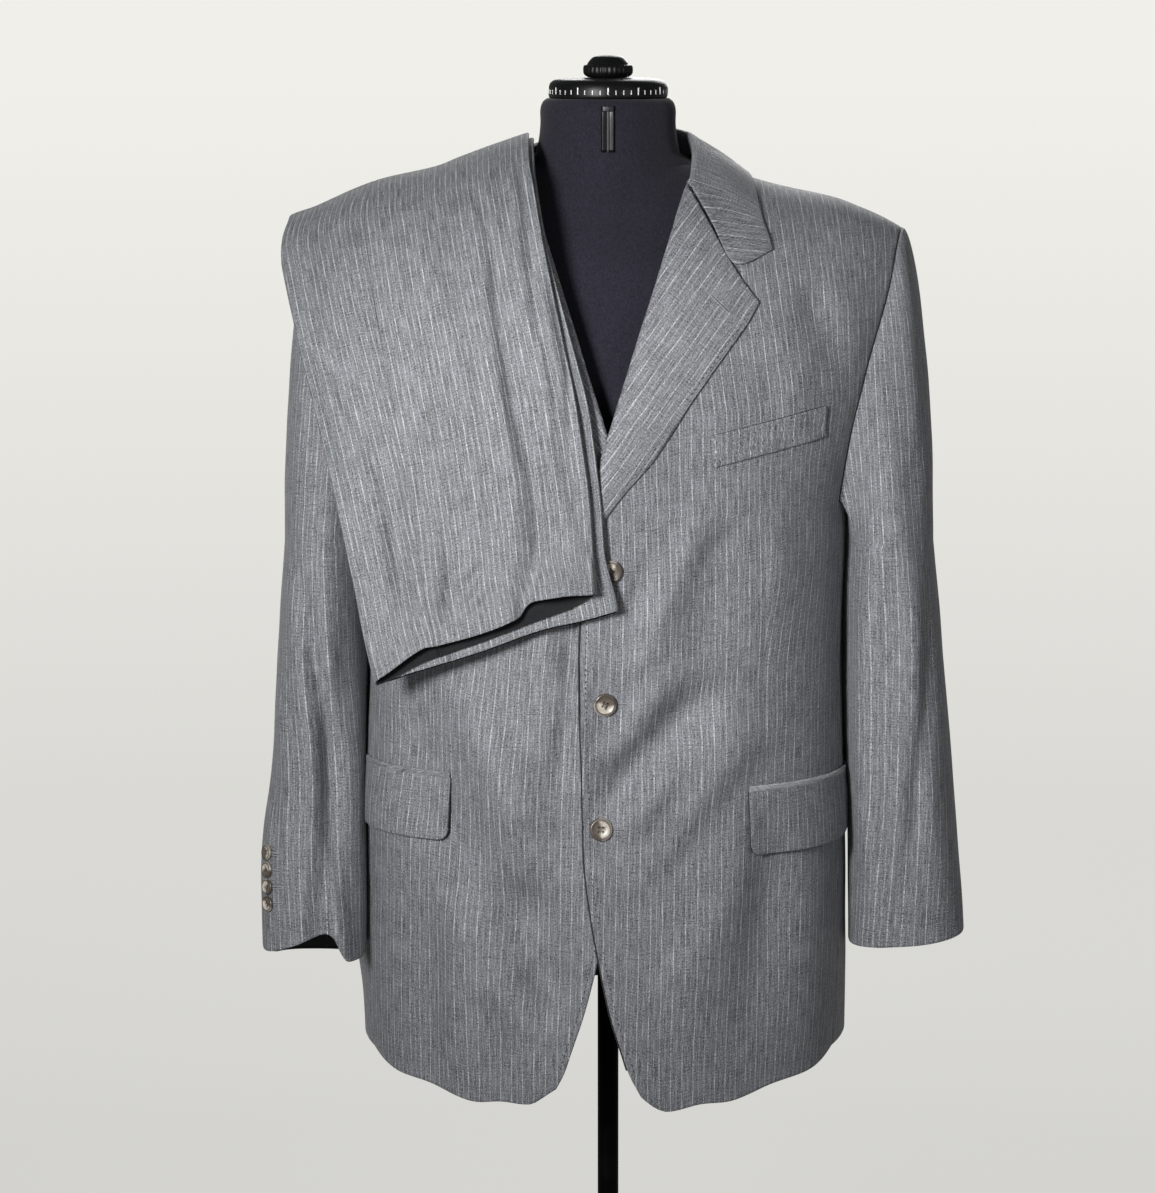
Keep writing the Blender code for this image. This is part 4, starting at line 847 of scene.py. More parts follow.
def plain_cloth(name, base, scales, roughness=0.8, amount=0.25, sheen=0.12, lift_by=0.0003):
    """Cloth without stripes: thread-like noise both ways on the object's own coordinates."""
    stuff = Stuff(name, roughness, Sheen_Weight=sheen, Sheen_Roughness=0.5, Specular_IOR_Level=0.2)
    place = stuff.own_place()
    up = stuff.threads(place, scales, 2.0, 0.6)
    cloud = stuff.noise(place, 14.0, 3.0)
    tone = stuff.maths("ADD", stuff.linear(up, 0.25, 0.75, 1 - amount, 1 + amount),
                       stuff.linear(cloud, 0.3, 0.7, -0.08, 0.08))
    stuff.colour(rgb(*base), tone)
    stuff.bump(up, 0.5, lift_by)
    return stuff.material


def horn_stuff(name, radius):
    """Polished horn: brown grey with one pale cloudy side, fine streaks and a dark rim."""
    stuff = Stuff(name, 0.34, Coat_Weight=0.2, Coat_Roughness=0.2, Specular_IOR_Level=0.45)
    place = stuff.own_place()
    broad = stuff.noise(place, 110.0, 2.0, 0.5)
    streak = stuff.threads(place, (900.0, 160.0, 300.0), 3.0, 0.6)
    apart = stuff.node("SeparateXYZ", {0: place})
    wedge = stuff.maths("ADD", stuff.maths("MULTIPLY", apart, 0.55 / radius),
                        stuff.maths("MULTIPLY", stuff.maths("SUBTRACT", broad, 0.5), 1.4))
    pale = stuff.span(wedge, -0.12, 0.22)
    body_colour = stuff.blend(pale, rgb(0.1, 0.08, 0.064), rgb(0.46, 0.42, 0.36))
    flat = stuff.stretched(place, (1.0, 1.0, 0.0))
    far = stuff.node("VectorMath", {0: flat}, output=1, operation="LENGTH")
    rim = stuff.maths("MULTIPLY", stuff.span(far, 0.7 * radius, 0.77 * radius, 0.0, 0.85),
                      stuff.span(far, 0.86 * radius, 0.94 * radius, 1.0, 0.45))
    body_colour = stuff.blend(rim, body_colour, rgb(0.05, 0.04, 0.034))
    shade = stuff.linear(streak, 0.3, 0.7, 0.75, 1.2)
    stuff.colour(body_colour, shade)
    stuff.bump(streak, 0.15, 0.0001)
    return stuff.material


def hard_stuff(name, base, roughness, metallic=0.0, gloss=0.5):
    """Moulded or painted surface with fine grain, uneven gloss and a little dust."""
    stuff = Stuff(name, roughness, Metallic=metallic, Specular_IOR_Level=gloss)
    place = stuff.own_place()
    fine = stuff.noise(place, 700.0, 2.0)
    broad = stuff.noise(place, 28.0, 4.0, 0.6)
    stuff.put(stuff.shader.inputs["Roughness"],
              stuff.linear(broad, 0.3, 0.7, roughness - 0.07, roughness + 0.1))
    dust = stuff.span(broad, 0.45, 0.8, 0.0, 0.05)
    stuff.colour(stuff.blend(dust, rgb(*base), rgb(*(0.05 + 0.9 * value for value in base))))
    stuff.bump(fine, 0.3, 0.00003)
    return stuff.material


SUITING = suiting("suiting", (0.155, 0.159, 0.175), (0.51, 0.51, 0.51), 0.58, 0.2)
# both jets are one cloth; the left one is painted lighter, a painted highlight along the left pocket's jet
LEFT_JET_PAINTED_HIGHLIGHT = suiting("suiting_jet", (0.33, 0.338, 0.354), (0.5, 0.5, 0.5), 0.0, 0.0)
RIGHT_JET = suiting("suiting_jet_right", (0.19, 0.195, 0.21), (0.5, 0.5, 0.5), 0.0, 0.0)
TROUSERING = suiting("trousering", (0.154, 0.162, 0.175), (0.5, 0.5, 0.5), 0.58, 0.32)
# dark lining cloth: the jacket's own lining inside, and also the painted shadow lines beside edges
LINING_AND_SHADOW_LINES = plain_cloth("lining", (0.026, 0.026, 0.029), (500.0, 500.0, 900.0), 0.55, 0.15, 0.0, 0.0001)
# the trousers' inner side is their own cloth painted near black: painted shade inside the legs and hems
TROUSER_INSIDE_PAINTED_SHADE = plain_cloth("trousering_inside_painted_shade", (0.013, 0.0135, 0.015), (700.0, 700.0, 240.0), 0.9, 0.25, 0.0)
JERSEY = plain_cloth("jersey", (0.015, 0.014, 0.022), (620.0, 620.0, 380.0), 0.9, 0.45, 0.1, 0.0004)
HORN = horn_stuff("horn", BUTTON[0])
CUFF_HORN = horn_stuff("cuff_horn", CUFF_BUTTON[0])
PLASTIC = hard_stuff("black_plastic_satin", (0.0035, 0.0035, 0.004), 0.36, gloss=0.22)
ENAMEL = hard_stuff("black_enamel_satin", (0.0012, 0.0012, 0.0013), 0.42, gloss=0.05)
METAL = hard_stuff("latch_steel", (0.035, 0.035, 0.04), 0.38, 0.6)
RAIL = hard_stuff("slot_rail", (0.045, 0.042, 0.05), 0.5)
MARK = hard_stuff("dial_mark", (0.88, 0.88, 0.86), 0.5)
FIBRES = (3000.0, 3000.0, 3000.0)
THREAD = plain_cloth("thread", (0.25, 0.255, 0.268), FIBRES, 0.7, 0.3, 0.2, 0.0001)
# thread painted near black: painted shade in the pick stitches' dimples and in the buttonholes' slits
THREAD_PAINTED_SHADE = plain_cloth("dark_thread_painted_shade", (0.03, 0.029, 0.029), FIBRES, 0.6, 0.3, 0.2, 0.0001)
BUTTON_THREAD = plain_cloth("button_thread", (0.075, 0.066, 0.058), FIBRES, 0.6, 0.3, 0.2, 0.0001)

# what a piece has on its outer and its inner side, or on both
JACKET = (SUITING, LINING_AND_SHADOW_LINES)
BOTH = (SUITING,)

# ---- the jacket

STEP = 0.0056
# half a seam's gap, in degrees round the body
SEAM_TURN = 0.04
# where the flat cloth of the fronts, and of the panels behind them, starts above the floor
FRONT_START = 0.63
BACK_START = 0.66
# from a piece's edge to its first stripe, and on lapels and sleeves from the line they start at
STRIPE_START = 0.0026
TURNED_START = 0.0042
FRONT_WAY, BACK_WAY = (0, -1, 0), (0, 1, 0)
UP = np.concatenate((np.linspace(0.0, 1.0, 66)[:-1], (0.9965, 1.0)))


def rows_below(height):
    """Shares of the rows from the hem to the armhole's foot, without the last one."""
    shares = spread(height, STEP)
    return shares[shares < 0.995]


def flat_places(points, first, start):
    """Places on the flat cloth: level run from the first column, and length up each column."""
    across = running(points[..., :2], 1) + np.asarray(first)[..., None]
    return stacked(across, running(points, 0) + start)


def chest_lean(z):
    """Stripes of the fronts lean outwards above the chest line, and a little at the waist's edge."""
    return 0.15 * np.maximum(z - 1.26, 0.0) - 0.004 * ease(1.16, 0.98, z)


seen_places = {}


def matched(side, points):
    """Places on a front's cloth that lie nearest to points on it."""
    plain, places = (grid.reshape(-1, grid.shape[-1]) for grid in seen_places[side])
    found = []
    for spot in points.reshape(-1, 3):
        far = np.linalg.norm(plain - spot, axis=1)
        near = np.argsort(far)[:3]
        share = 1 / (far[near] + 1e-6)
        found.append((places[near] * share[:, None]).sum(axis=0) / share.sum())
    return np.array(found).reshape(points.shape[:-1] + (2,))


def front_panel(side):
    panel = 0.26
    columns = spread(panel, STEP)
    dart_x, dart_top = next(row[1:3] for row in DARTS if row[0] == side)
    at_waist = -0.15
    ends = angle_at(np.array([front_x(side, ARM_Z + at_waist), side * dart_x]), at_waist)
    share = (ends[1] - ends[0]) / (side * SIDE_SEAM - ends[0])
    near = np.array(DART_COLUMNS) / panel
    columns = columns[np.abs(columns - share) > DART_CLEAR]
    columns = np.sort(np.concatenate((columns, share + near)))
    seam = SIDE_SEAM - SEAM_TURN
    c, s = np.meshgrid(columns, rows_below(ARM_Z - CORNER_Z))
    corner_rise = CORNER_RISE * ease(0.3, 0.05, c) if side < 0 else 0.0
    z = mix(smooth(FRONT_HEM, c) + corner_rise, ARM_Z, s)
    edge = angle_at(front_x(side, np.maximum(z, CORNER_Z)), z - ARM_Z)
    corner = angle_at(front_x(side, CORNER_Z), CORNER_Z - ARM_Z)
    edge = np.where(z < CORNER_Z, corner, edge)
    angle = mix(edge, side * seam, c)
    raised = lift(side, body(angle, z - ARM_Z)[..., 0], z)
    rows = [skin(angle, z - ARM_Z, raised)]
    plain = [skin(angle, z - ARM_Z, raised, 0.0)]
    for level in UP:
        x = 0.03 * side
        for _ in range(12):
            x = front_x(side, body(angle_at(x, level), level)[..., 2])
        if level >= NECK_MEETS[0]:
            x = mix(x, side * NECK_SIDE, ease(*NECK_MEETS, level))
        inner = angle_at(x, level)
        outer = side * min(abs(angle_at(side * smooth(ARMHOLE, level), level)), seam)
        angle = mix(inner, outer, columns)
        base = body(angle, level)
        row = skin(angle, level, lift(side, base[:, 0], base[:, 2]))
        if level == 1.0:
            row[:, 1] = -SEAM / 2
        rows.append(row[None])
        plain.append(base[None])
    points, plain = np.concatenate(rows), np.concatenate(plain)
    first = side * (plain[:, 0, 0] - smooth(CENTRE_LINE, plain[:, 0, 2]))
    places = flat_places(plain, first, FRONT_START)
    places[..., 0] += chest_lean(plain[..., 2])
    points = round_off(points, FRONT_WAY)
    column = int(np.argmin(np.abs(columns - share)))
    heights = points[:, column, 2]
    pocket = next(flap[3] for flap in FLAPS if flap[0] == side)
    added = DART_INTAKE * ease(dart_top, dart_top - DART_RUN, heights) * (heights > pocket - DART_BELOW)
    seen_places[side] = plain, places
    cloth("cloth_front_" + hand(side), points, places, JACKET, WALL, FRONT_WAY,
          "jacket_front_" + hand(side), jump=(column, added))


def side_panel(side):
    c, s = np.meshgrid(spread(0.158, STEP), spread(0.505, STEP))
    angle = mix(SIDE_SEAM + SEAM_TURN, BACK_SEAM - SEAM_TURN, c)
    z = mix(smooth(BACK_HEM, angle), ARM_Z, s)
    places = flat_places(body(side * angle, z - ARM_Z), 0.0031, BACK_START)
    points = round_off(skin(side * angle, z - ARM_Z), (side, 0, 0))
    cloth("cloth_side_" + hand(side), points, places, JACKET, WALL, (side, 0, 0),
          "jacket_side_" + hand(side))


def back_top_level(x):
    """The level at which the back ends: the shoulder seam or the neck's curve."""
    if abs(x) >= NECK_SIDE:
        return 1.0
    depth = NECK_BACK * math.sqrt(1 - (x / NECK_SIDE)**2)
    low, high = 0.4, 1.0
    for _ in range(24):
        middle = (low + high) / 2
        if body(angle_at(x, middle, True), middle)[1] > depth:
            low = middle
        else:
            high = middle
    return low


def back_panel(side):
    centre = 179.93
    seam = BACK_SEAM + SEAM_TURN
    tip = float(angle_at(smooth(ARMHOLE, 1.0, 2), 1.0, True))
    neck = (centre - float(angle_at(NECK_SIDE, 1.0, True))) / (centre - tip)
    outside = mix(neck, 1.0, spread(0.17, STEP)[1:])
    columns = np.concatenate((neck * spread(0.12, STEP)[:-3], (neck,), outside))
    c, s = np.meshgrid(columns, rows_below(ARM_Z - 0.67))
    angle = mix(centre, seam, c)
    z = mix(smooth(BACK_HEM, angle), ARM_Z, s)
    rows, plain = [skin(side * angle, z - ARM_Z)], [body(side * angle, z - ARM_Z)]
    tops = np.array([back_top_level(float(body(mix(centre, tip, column), 1.0)[0]) + 1e-6)
                     for column in columns])
    for share in UP:
        level = share * tops
        outer = np.abs(angle_at(side * smooth(ARMHOLE, level, 2), level, True))
        angle = side * mix(centre, np.maximum(outer, seam), columns)
        row = skin(angle, level)
        if share == 1.0:
            row[tops == 1.0, 1] = SEAM / 2
        rows.append(row[None])
        plain.append(body(angle, level)[None])
    places = flat_places(np.concatenate(plain), STRIPE_START, BACK_START)
    points = round_off(np.concatenate(rows), BACK_WAY)
    cloth("cloth_back_" + hand(side), points, places, JACKET, WALL, BACK_WAY,
          "jacket_back_" + hand(side))


def bent(start, corner, end, share):
    """A place on the two straight lines start to corner to end."""
    first, second = (corner - start).length, (end - corner).length
    along = share * (first + second)
    if along < first:
        return start.lerp(corner, along / first)
    return corner.lerp(end, (along - first) / second)


def lapel(side):
    shares = (0.0, 0.06, 0.16, 0.28, 0.42, 0.56, 0.7, 0.83, 0.93, 1.0)
    columns = (0.06, 0.25, 0.5, 0.75, 1.0)
    rows, flat = [], []
    for share in shares:
        z = mix(BREAK_Z, GORGE_Z, share)
        fold = Vector((side * float(front_x(side, z)), z))
        edge_z = mix(LAPEL_EDGE[0][0], LAPEL_EDGE[-1][0], share)
        edge = Vector((float(smooth(LAPEL_EDGE, edge_z)), edge_z))
        if share == 1.0:
            edge = Vector(LAPEL_TIP)
        if share == 0.0:
            edge = fold + Vector((0.0045, 0.001))
        across = (edge - fold).normalized()
        spots = [(fold - across * beyond, out) for beyond, out in NOSE]
        for column in columns:
            spot = fold.lerp(edge, column)
            if share == 1.0:
                spot = bent(fold, Vector(NOTCH), edge, column)
            spots.append((spot, float(smooth(LAPEL_LOFT, column, 1 if side > 0 else 2))))
        rows.append([on_front(side, spot.x, spot.y, out) for spot, out in spots])
        flat.append([(spot.x, spot.y) for spot, out in spots])
    down, across = spread(0.31, 0.0048), spread(0.085, 0.0034)
    points, flat = finer(rows, down, across), finer(flat, down, across)
    # the stripes run along the lapel's outer edge
    corner = np.array(LAPEL_EDGE[1][::-1])
    line = unit(np.array(LAPEL_TIP) - corner)
    x, z = flat[..., 0] - corner[0], flat[..., 1] - corner[1]
    places = stacked(x * line[1] - z * line[0] + TURNED_START, x * line[0] + z * line[1])
    uneven = 0.00025 * ripple(points[..., 0], points[..., 2], 3.0, 0.07)
    points = points + grid_normals(points, FRONT_WAY) * uneven[..., None]
    points = round_off(points, FRONT_WAY, 0.0006)
    cloth("cloth_lapel_" + hand(side), points, places, BOTH, WALL, FRONT_WAY,
          "lapel_" + hand(side), offset=0.0)


def clear_of_body(point, out):
    """The point, moved out where it lies less than out above the jacket."""
    behind = point.y > 0
    up = max(point.z - ARM_Z, 0.0) / (float(shoulder_line(point.x)) - ARM_Z)
    level = min(up, 0.9)
    for _ in range(4):
        wide = rounded(point.x / smooth(UPPER_WIDTH, level), smooth(BODY_SECTIONS, ARM_Z, 5))
        deep = smooth(BODY_SECTIONS, ARM_Z, 4 if behind else 3) * wide
        level = math.atan2(up ** (SHOULDER_POWER / 2), (abs(point.y) / deep) ** (SHOULDER_POWER / 2))
        level = min(level / (math.pi / 2), 0.999)
    angle = angle_at(point.x, level, behind)
    normal = Vector(body_normal(angle, level))
    above = (point - Vector(body(angle, level))).dot(normal)
    return point + normal * max(out - above, 0.0)


def collar_row(station, side):
    """One section across the collar: stand, fold and fall."""
    fold_x, fold_y, fold_z, stand, edge_x, edge_side, edge_z = station
    press = 0.0
    if side < 0:
        press = PRESSED * float(ease(0.02, 0.068, fold_x) * ease(-0.085, -0.05, fold_y))
    fold = Vector((fold_x, fold_y, fold_z - press))
    edge = Vector(on_body(side * edge_x, edge_z, COLLAR_SEAT, edge_side > 0))
    edge.x *= side
    outward = Vector((edge.x - fold.x, edge.y - fold.y, 0.0)).normalized()
    lean = 0.0035 if fold_x > 0.03 else 0.001
    foot = Vector((fold.x, fold.y, fold.z - max(stand - press, 0.0035))) + outward * lean
    row = [foot, foot.lerp(fold, 0.6), fold - outward * 0.0014 - Vector((0, 0, 0.0016)), fold,
           fold + outward * 0.0026 - Vector((0, 0, 0.0008))]
    start = row[-1]
    for share in (0.3, 0.6, 1.0):
        point = start.lerp(edge, share)
        point.z += 0.0025 * math.sin(math.pi * share)
        row.append(clear_of_body(point, COLLAR_SEAT))
    row[:5] = [clear_of_body(point, COLLAR_SEAT) for point in row[:5]]
    return [Vector((side * p.x, p.y, p.z)) for p in row]


def collar():
    rows = []
    for side in (-1, 1):
        half = [collar_row(station, side) for station in COLLAR]
        # the collar ends along the gorge seam, clear of the lapel by this much
        clear = Vector((0.0012, 0.004))
        gorge = Vector((float(front_x(1, GORGE_Z)), GORGE_Z)) + clear
        notch, tip = Vector(NOTCH) + clear, Vector(COLLAR_TIP) + clear
        spots = [(gorge - Vector((beyond * 0.9, 0)), out) for beyond, out in NOSE]
        spots += [(bent(gorge, notch, tip, share), float(smooth(LAPEL_LOFT, share)))
                  for share in (0.1, 0.33, 0.68, 1.0)]
        last = [Vector(on_front(side, spot.x, spot.y, out)) for spot, out in spots]
        between = [a.lerp(b, 0.5) for a, b in zip(half[-1], last)]
        half += [[clear_of_body(point, COLLAR_SEAT + 0.0006) for point in between], last]
        rows += half[::-1] if side < 0 else half[1:]
    rows = np.array([[tuple(point) for point in row] for row in rows])
    points = finer(rows, spread(0.5, 0.005), spread(0.075, 0.0034))
    along = running(points, 0).mean(axis=1)
    middle = along[len(along) // 2]
    fall = running(points, 1)
    station = np.repeat((along - middle)[:, None], points.shape[1], axis=1)
    end = along[-1] - middle
    x, z = np.abs(points[..., 0]), points[..., 2]
    level_run = end + (GORGE_Z - z) * 0.97 - (x - 0.0706) * 0.12
    front = ease(end - 0.085, end - 0.02, np.abs(station))
    u = np.sign(station) * mix(np.abs(station), level_run, front)
    places = stacked(u + STRIPE_START, fall)
    outward = (0, 1, 0.2)
    points = round_off(points, outward, 0.0006)
    cloth("cloth_collar", points, places, BOTH, WALL, outward, "collar", offset=0.0)


def armhole_point(side, share, out=0.0003):
    """Round the armhole, for an array of shares: 0 the shoulder, 0.4 and 0.6 the foot of its edges."""
    share = np.asarray(share) % 1.0
    behind = share >= 0.5
    level = np.where(behind, (share - 0.6) / 0.4, 1 - share / 0.4)
    under = (share > 0.4) & (share < 0.6)
    level = np.where(under, 0.0, np.clip(level, 0.0, 1.0))
    x = side * np.where(behind, smooth(ARMHOLE, level, 2), smooth(ARMHOLE, level, 1))
    angle = np.abs(angle_at(x, level, behind))
    angle = np.where(behind, np.maximum(angle, BACK_SEAM), np.minimum(angle, SIDE_SEAM))
    angle = np.where(under, mix(SIDE_SEAM, BACK_SEAM, (share - 0.4) / 0.2), angle)
    point = skin(side * angle, level)
    point[..., 1] = np.where(level == 1.0, 0.0, point[..., 1])
    normal = body_normal(side * angle, np.minimum(level, 0.96))
    return point + normal * out


def sleeve_section(side, z):
    """Centre x and y, half width and depth, roundness and turn of a sleeve at a height."""
    table = sorted(SLEEVE_LEFT if side > 0 else SLEEVE_RIGHT)
    outer, inner, middle, depth, power, turn = (smooth(table, z, k) for k in range(1, 7))
    return (outer + inner) / 2, middle, (outer - inner) / 2, depth, power, np.radians(turn)


def sleeve_ring(side, share, z):
    """Round the sleeve at a height: 0 is its outer line and 0.25 its front."""
    centre, middle, width, depth, power, turn = sleeve_section(side, z)
    angle = 2 * np.pi * np.asarray(share) + turn
    x = centre + width * power_of(np.cos(angle), 2 / power)
    y = middle - depth * power_of(np.sin(angle), 2 / power)
    x = x - smooth(SLEEVE_IN[side], z) * ease(0.0, 0.9, -np.cos(angle))
    rise = CUFF_RISE_OUT * np.cos(angle)
    if side < 0:
        rise = -CUFF_BACK_DROP * ease(0.0, -0.7, np.sin(angle))
        rise = rise + smooth(CUFF_FOLD, x) * ease(0.0, 0.35, np.sin(angle))
    x, y, z = np.broadcast_arrays(side * x, y, z + rise * ease(*CUFF_FADE, z))
    return stacked(x, y, z)


def ring_run(angle, width, depth, power):
    """Length round a rounded section from its outer line to an angle."""
    shares = np.linspace(0.0, 1.0, 61)
    angles = angle[..., None] * shares
    bend = 2 / power[..., None]
    x = width[..., None] * power_of(np.cos(angles), bend)
    y = depth[..., None] * power_of(np.sin(angles), bend)
    return np.sign(angle) * np.hypot(np.diff(x), np.diff(y)).sum(axis=-1)


def sleeve_grid(side, upper, columns):
    """Rows down the sleeve from the armhole to the cuff with its folds, and places on the flat cloth."""
    hind = SLEEVE_SEAMS[1]
    # the two pieces reach over each other's seam by this share, so that no gap shows
    clear = -0.0004

    def shares_at(moved):
        front = mix(SLEEVE_SEAMS[0], SLEEVE_FRONT_LOW, moved)
        ends = (hind - 1 + clear, front - clear) if upper else (front + clear, hind - clear)
        return mix(ends[0], ends[1], columns)

    rows, angles, shares_used = [], [], []
    for t in np.concatenate(((0.0, 0.004, 0.012), np.linspace(0.028, 0.976, 44))):
        shares = shares_at(0.4 * ease(0.5, 1.0, t))
        top = armhole_point(side, shares)
        first = sleeve_ring(side, shares, SLEEVE_TOP)
        reach = smooth(SLEEVE_HEAD, shares % 1.0)[:, None]
        level_way = -0.35 * np.sin(2 * np.pi * shares)
        away = unit(stacked(np.full_like(shares, side), level_way, np.full_like(shares, 0.1)))
        drop = np.zeros_like(first)
        drop[:, 2] = 0.5 * (top[:, 2] - first[:, 2])
        a, b, c = (1 - t)**3, 3 * t * (1 - t)**2, 3 * t * t * (1 - t)
        row = top * a + (top + away * reach) * b + (first + drop) * c + first * t**3
        centre, middle, width, depth, power = sleeve_section(side, SLEEVE_TOP)[:5]
        lean = SLEEVE_LEAN * np.maximum(row[:, 2] - SLEEVE_TOP, 0.0)
        across = (side * row[:, 0] - centre + lean) / width
        ahead = (middle - row[:, 1]) / depth
        angle = np.arctan2(power_of(ahead, power / 2), power_of(across, power / 2))
        if not upper:
            angle = angle % (2 * np.pi)
        rows.append(row)
        angles.append(angle)
        shares_used.append(shares)
    lengths = spread(SLEEVE_TOP - SLEEVE_FOOT, STEP)
    for z in SLEEVE_TOP - (SLEEVE_TOP - SLEEVE_FOOT) * np.concatenate(((0.0,), lengths[4:])):
        shares = shares_at(0.4 + 0.6 * float(ease(1.13, 1.07, z)))
        rows.append(sleeve_ring(side, shares, z))
        angles.append(2 * np.pi * shares + sleeve_section(side, z)[5])
        shares_used.append(shares)
    points, angles, shares_used = np.array(rows), np.array(angles), np.array(shares_used)
    facing = (side, -0.2, 0) if upper else (-side, 0.2, 0)
    if side < 0:
        facing = (-0.3, -1, 0) if upper else (0.3, 1, 0)
    normals = grid_normals(points, facing)
    x, z = points[..., 0], points[..., 2]
    section = sleeve_section(side, np.minimum(z, SLEEVE_TOP))
    run = ring_run(angles, *np.broadcast_arrays(*section[2:5]))
    places = stacked(run + TURNED_START, -z)
    out = ease(0.05, 0.6, -normals[..., 1]) * folds(SLEEVE_FRONT_FOLDS, x, z)
    out = out + ease(0.05, 0.6, normals[..., 1]) * folds(SLEEVE_BACK_FOLDS, x, z)
    out = out + RIPPLE * ripple(x + 0.8 * points[..., 1], z, 5.0 + side, 0.08)
    buttons = hind - 1 + CUFF_BUTTON_IN[side]
    still = np.exp(-((shares_used - buttons) / BUTTON_REST_WIDTH)**2) * ease(*BUTTON_REST, z)
    out = out * (1 - still) * ease(0.004, 0.05, running(points, 0))
    return points + normals * out[..., None], places, facing


def sleeve(side, upper):
    points, places, facing = sleeve_grid(side, upper, spread(0.27 if upper else 0.12, 0.0046))
    points = round_off(points, facing, 0.0005, 0.001)
    node = "sleeve_%s_%s" % (hand(side), "top" if upper else "under")
    cloth("cloth_" + node, points, places, JACKET, WALL, facing, node)


# length round the jacket at the pockets' height, by angle
RUN_ANGLES = np.linspace(0.0, 180.0, 361)
RUN_LENGTHS = running(body(RUN_ANGLES, 0.9 - ARM_Z), 0)
# closeness of rows at the edges of welt and flaps
TRIM_EDGE = (0.0006, 0.0015, 0.003)


def painted_shadow_line(name, path, radius=0.0008):
    """A thin dark tube of lining cloth beside a piece's own edge: painted shadow of the gap at that edge.
    """
    points, faces = tube_mesh(path, np.full(len(path), radius), 6)
    adopt(new_mesh(name, points, faces, [LINING_AND_SHADOW_LINES]))


def breast_welt():
    corners = [np.array(corner) for corner in WELT]
    s, up = np.meshgrid(spread(0.104, 0.004), spread(0.029, 0.0035, TRIM_EDGE))
    s, up = s[..., None], up[..., None]
    flat = mix(mix(corners[0], corners[1], s), mix(corners[3], corners[2], s), up)
    x, z = flat[..., 0], flat[..., 1]
    level = level_at(x, z)
    places = matched(1, body(angle_at(x, level), level))
    points = round_off(on_front(1, x, z, 0.0011), FRONT_WAY, 0.0004, 0.001)
    # a dark line round the welt's edge: painted shadow
    painted_shadow_line("welt_painted_shadow_line", np.concatenate((points[0], points[1:, -1], points[-1, -2::-1])), 0.0006)
    cloth("cloth_welt", points, places, BOTH, TRIM_WALL, FRONT_WAY, "breast_welt", offset=1.0)


def flap_and_jet(side, front, rear, top, depth):
    own = hand(side)
    outward = (side * 0.5, -1, 0)
    steps = spread(FLAP_LENGTH[side], 0.0036)
    angles = mix(front, rear, steps)
    run = steps * FLAP_LENGTH[side]
    cut = FLAP_CORNER * (1 - rounded(1 - np.minimum(run / FLAP_CORNER, 1.0), 2.0))
    reach = depth - cut - 0.004 * ease(0.5, 1.0, steps)
    rows = spread(depth, 0.004, TRIM_EDGE)
    share, angle = np.meshgrid(rows, angles, indexing="ij")
    swell = FLAP_SWELL * share * ease(rear, mix(front, rear, 0.7), angle)
    swell = swell + 0.0007 * np.sin(math.pi * share) + 0.0004 * ripple(angle / 60, share / 8, 4.0, 0.3)
    points = skin(side * angle, top - reach * share - ARM_Z, FLAP_SEAT + np.maximum(swell, 0.0))
    first = matched(side, body(side * front, top - ARM_Z)[None])[0, 0]
    u = np.interp(angles, RUN_ANGLES, RUN_LENGTHS)
    u = np.repeat((u - u[0] + first)[None], len(rows), axis=0)
    places = stacked(u, top - reach * share)
    points = round_off(points, outward, 0.0005, 0.001)
    # a dark line under the flap's front and lower edge: painted shadow
    painted_shadow_line("flap_painted_shadow_line_" + own, np.concatenate((points[:, 0], points[-1, 1:-2])), 0.0009)
    cloth("cloth_flap_" + own, points, places, BOTH, TRIM_WALL, outward, "pocket_flap_" + own,
          offset=1.0)
    rows = np.array((0.0, 0.0006, 0.0014, 0.0028, 0.0036, JET))
    height, angle = np.meshgrid(rows, angles, indexing="ij")
    bulge = 0.0009 * rounded(2 * height / JET - 1, 2.0)
    points = skin(side * angle, top + SEAM + height - ARM_Z, FLAP_SEAT + bulge)
    places = stacked(u[:1] + height * 3.0, top + height)
    # the left jet takes the lighter copy of the cloth: painted highlight
    cloth("cloth_jet_" + own, points, places, (LEFT_JET_PAINTED_HIGHLIGHT if side > 0 else RIGHT_JET,), 0.0012, outward,
          "pocket_jet_" + own, offset=1.0)


# ---- stitches, buttonholes and buttons

def tube_mesh(path, radii, around=6, closed=False):
    """Points and faces of a tube of changing radius along a path."""
    path = np.asarray(path, float)
    ahead = np.roll(path, -1, axis=0) - np.roll(path, 1, axis=0)
    if not closed:
        ahead[0], ahead[-1] = path[1] - path[0], path[-1] - path[-2]
    ahead = unit(ahead)
    first = unit(np.cross(ahead, (0.31, 0.17, 0.93)))
    second = np.cross(ahead, first)
    turns = (2 * np.pi * np.arange(around) / around)[:, None]
    ring = first[:, None] * np.cos(turns) + second[:, None] * np.sin(turns)
    points = (path[:, None] + ring * np.asarray(radii)[:, None, None]).reshape(-1, 3)
    faces = ring_faces(len(path), around, closed=closed)
    return points, faces if closed else faces + end_faces(len(path), around)


def join_parts(parts):
    points, faces, start = [], [], 0
    for some_points, some_faces in parts:
        points.append(some_points)
        faces += [tuple(start + k for k in face) for face in some_faces]
        start += len(some_points)
    return np.concatenate(points), faces


STITCH = 0.0024
STITCH_STEP = 0.0056
STITCH_RADII = 0.00044 * np.array((0.3, 0.9, 1.0, 0.9, 0.3))
# how far stitches lie above the front and above the lapel's place on it
STITCH_RISE = (0.0001, 0.0034)
# worked holes: the thread's radius, that of the eye, and the lengths in front, on cuffs and lapel
HOLE_BEAD = 0.00046
EYE_RADIUS = 0.0017
FRONT_HOLE, CUFF_HOLE, LAPEL_CUT = 0.019, 0.0135, 0.0225
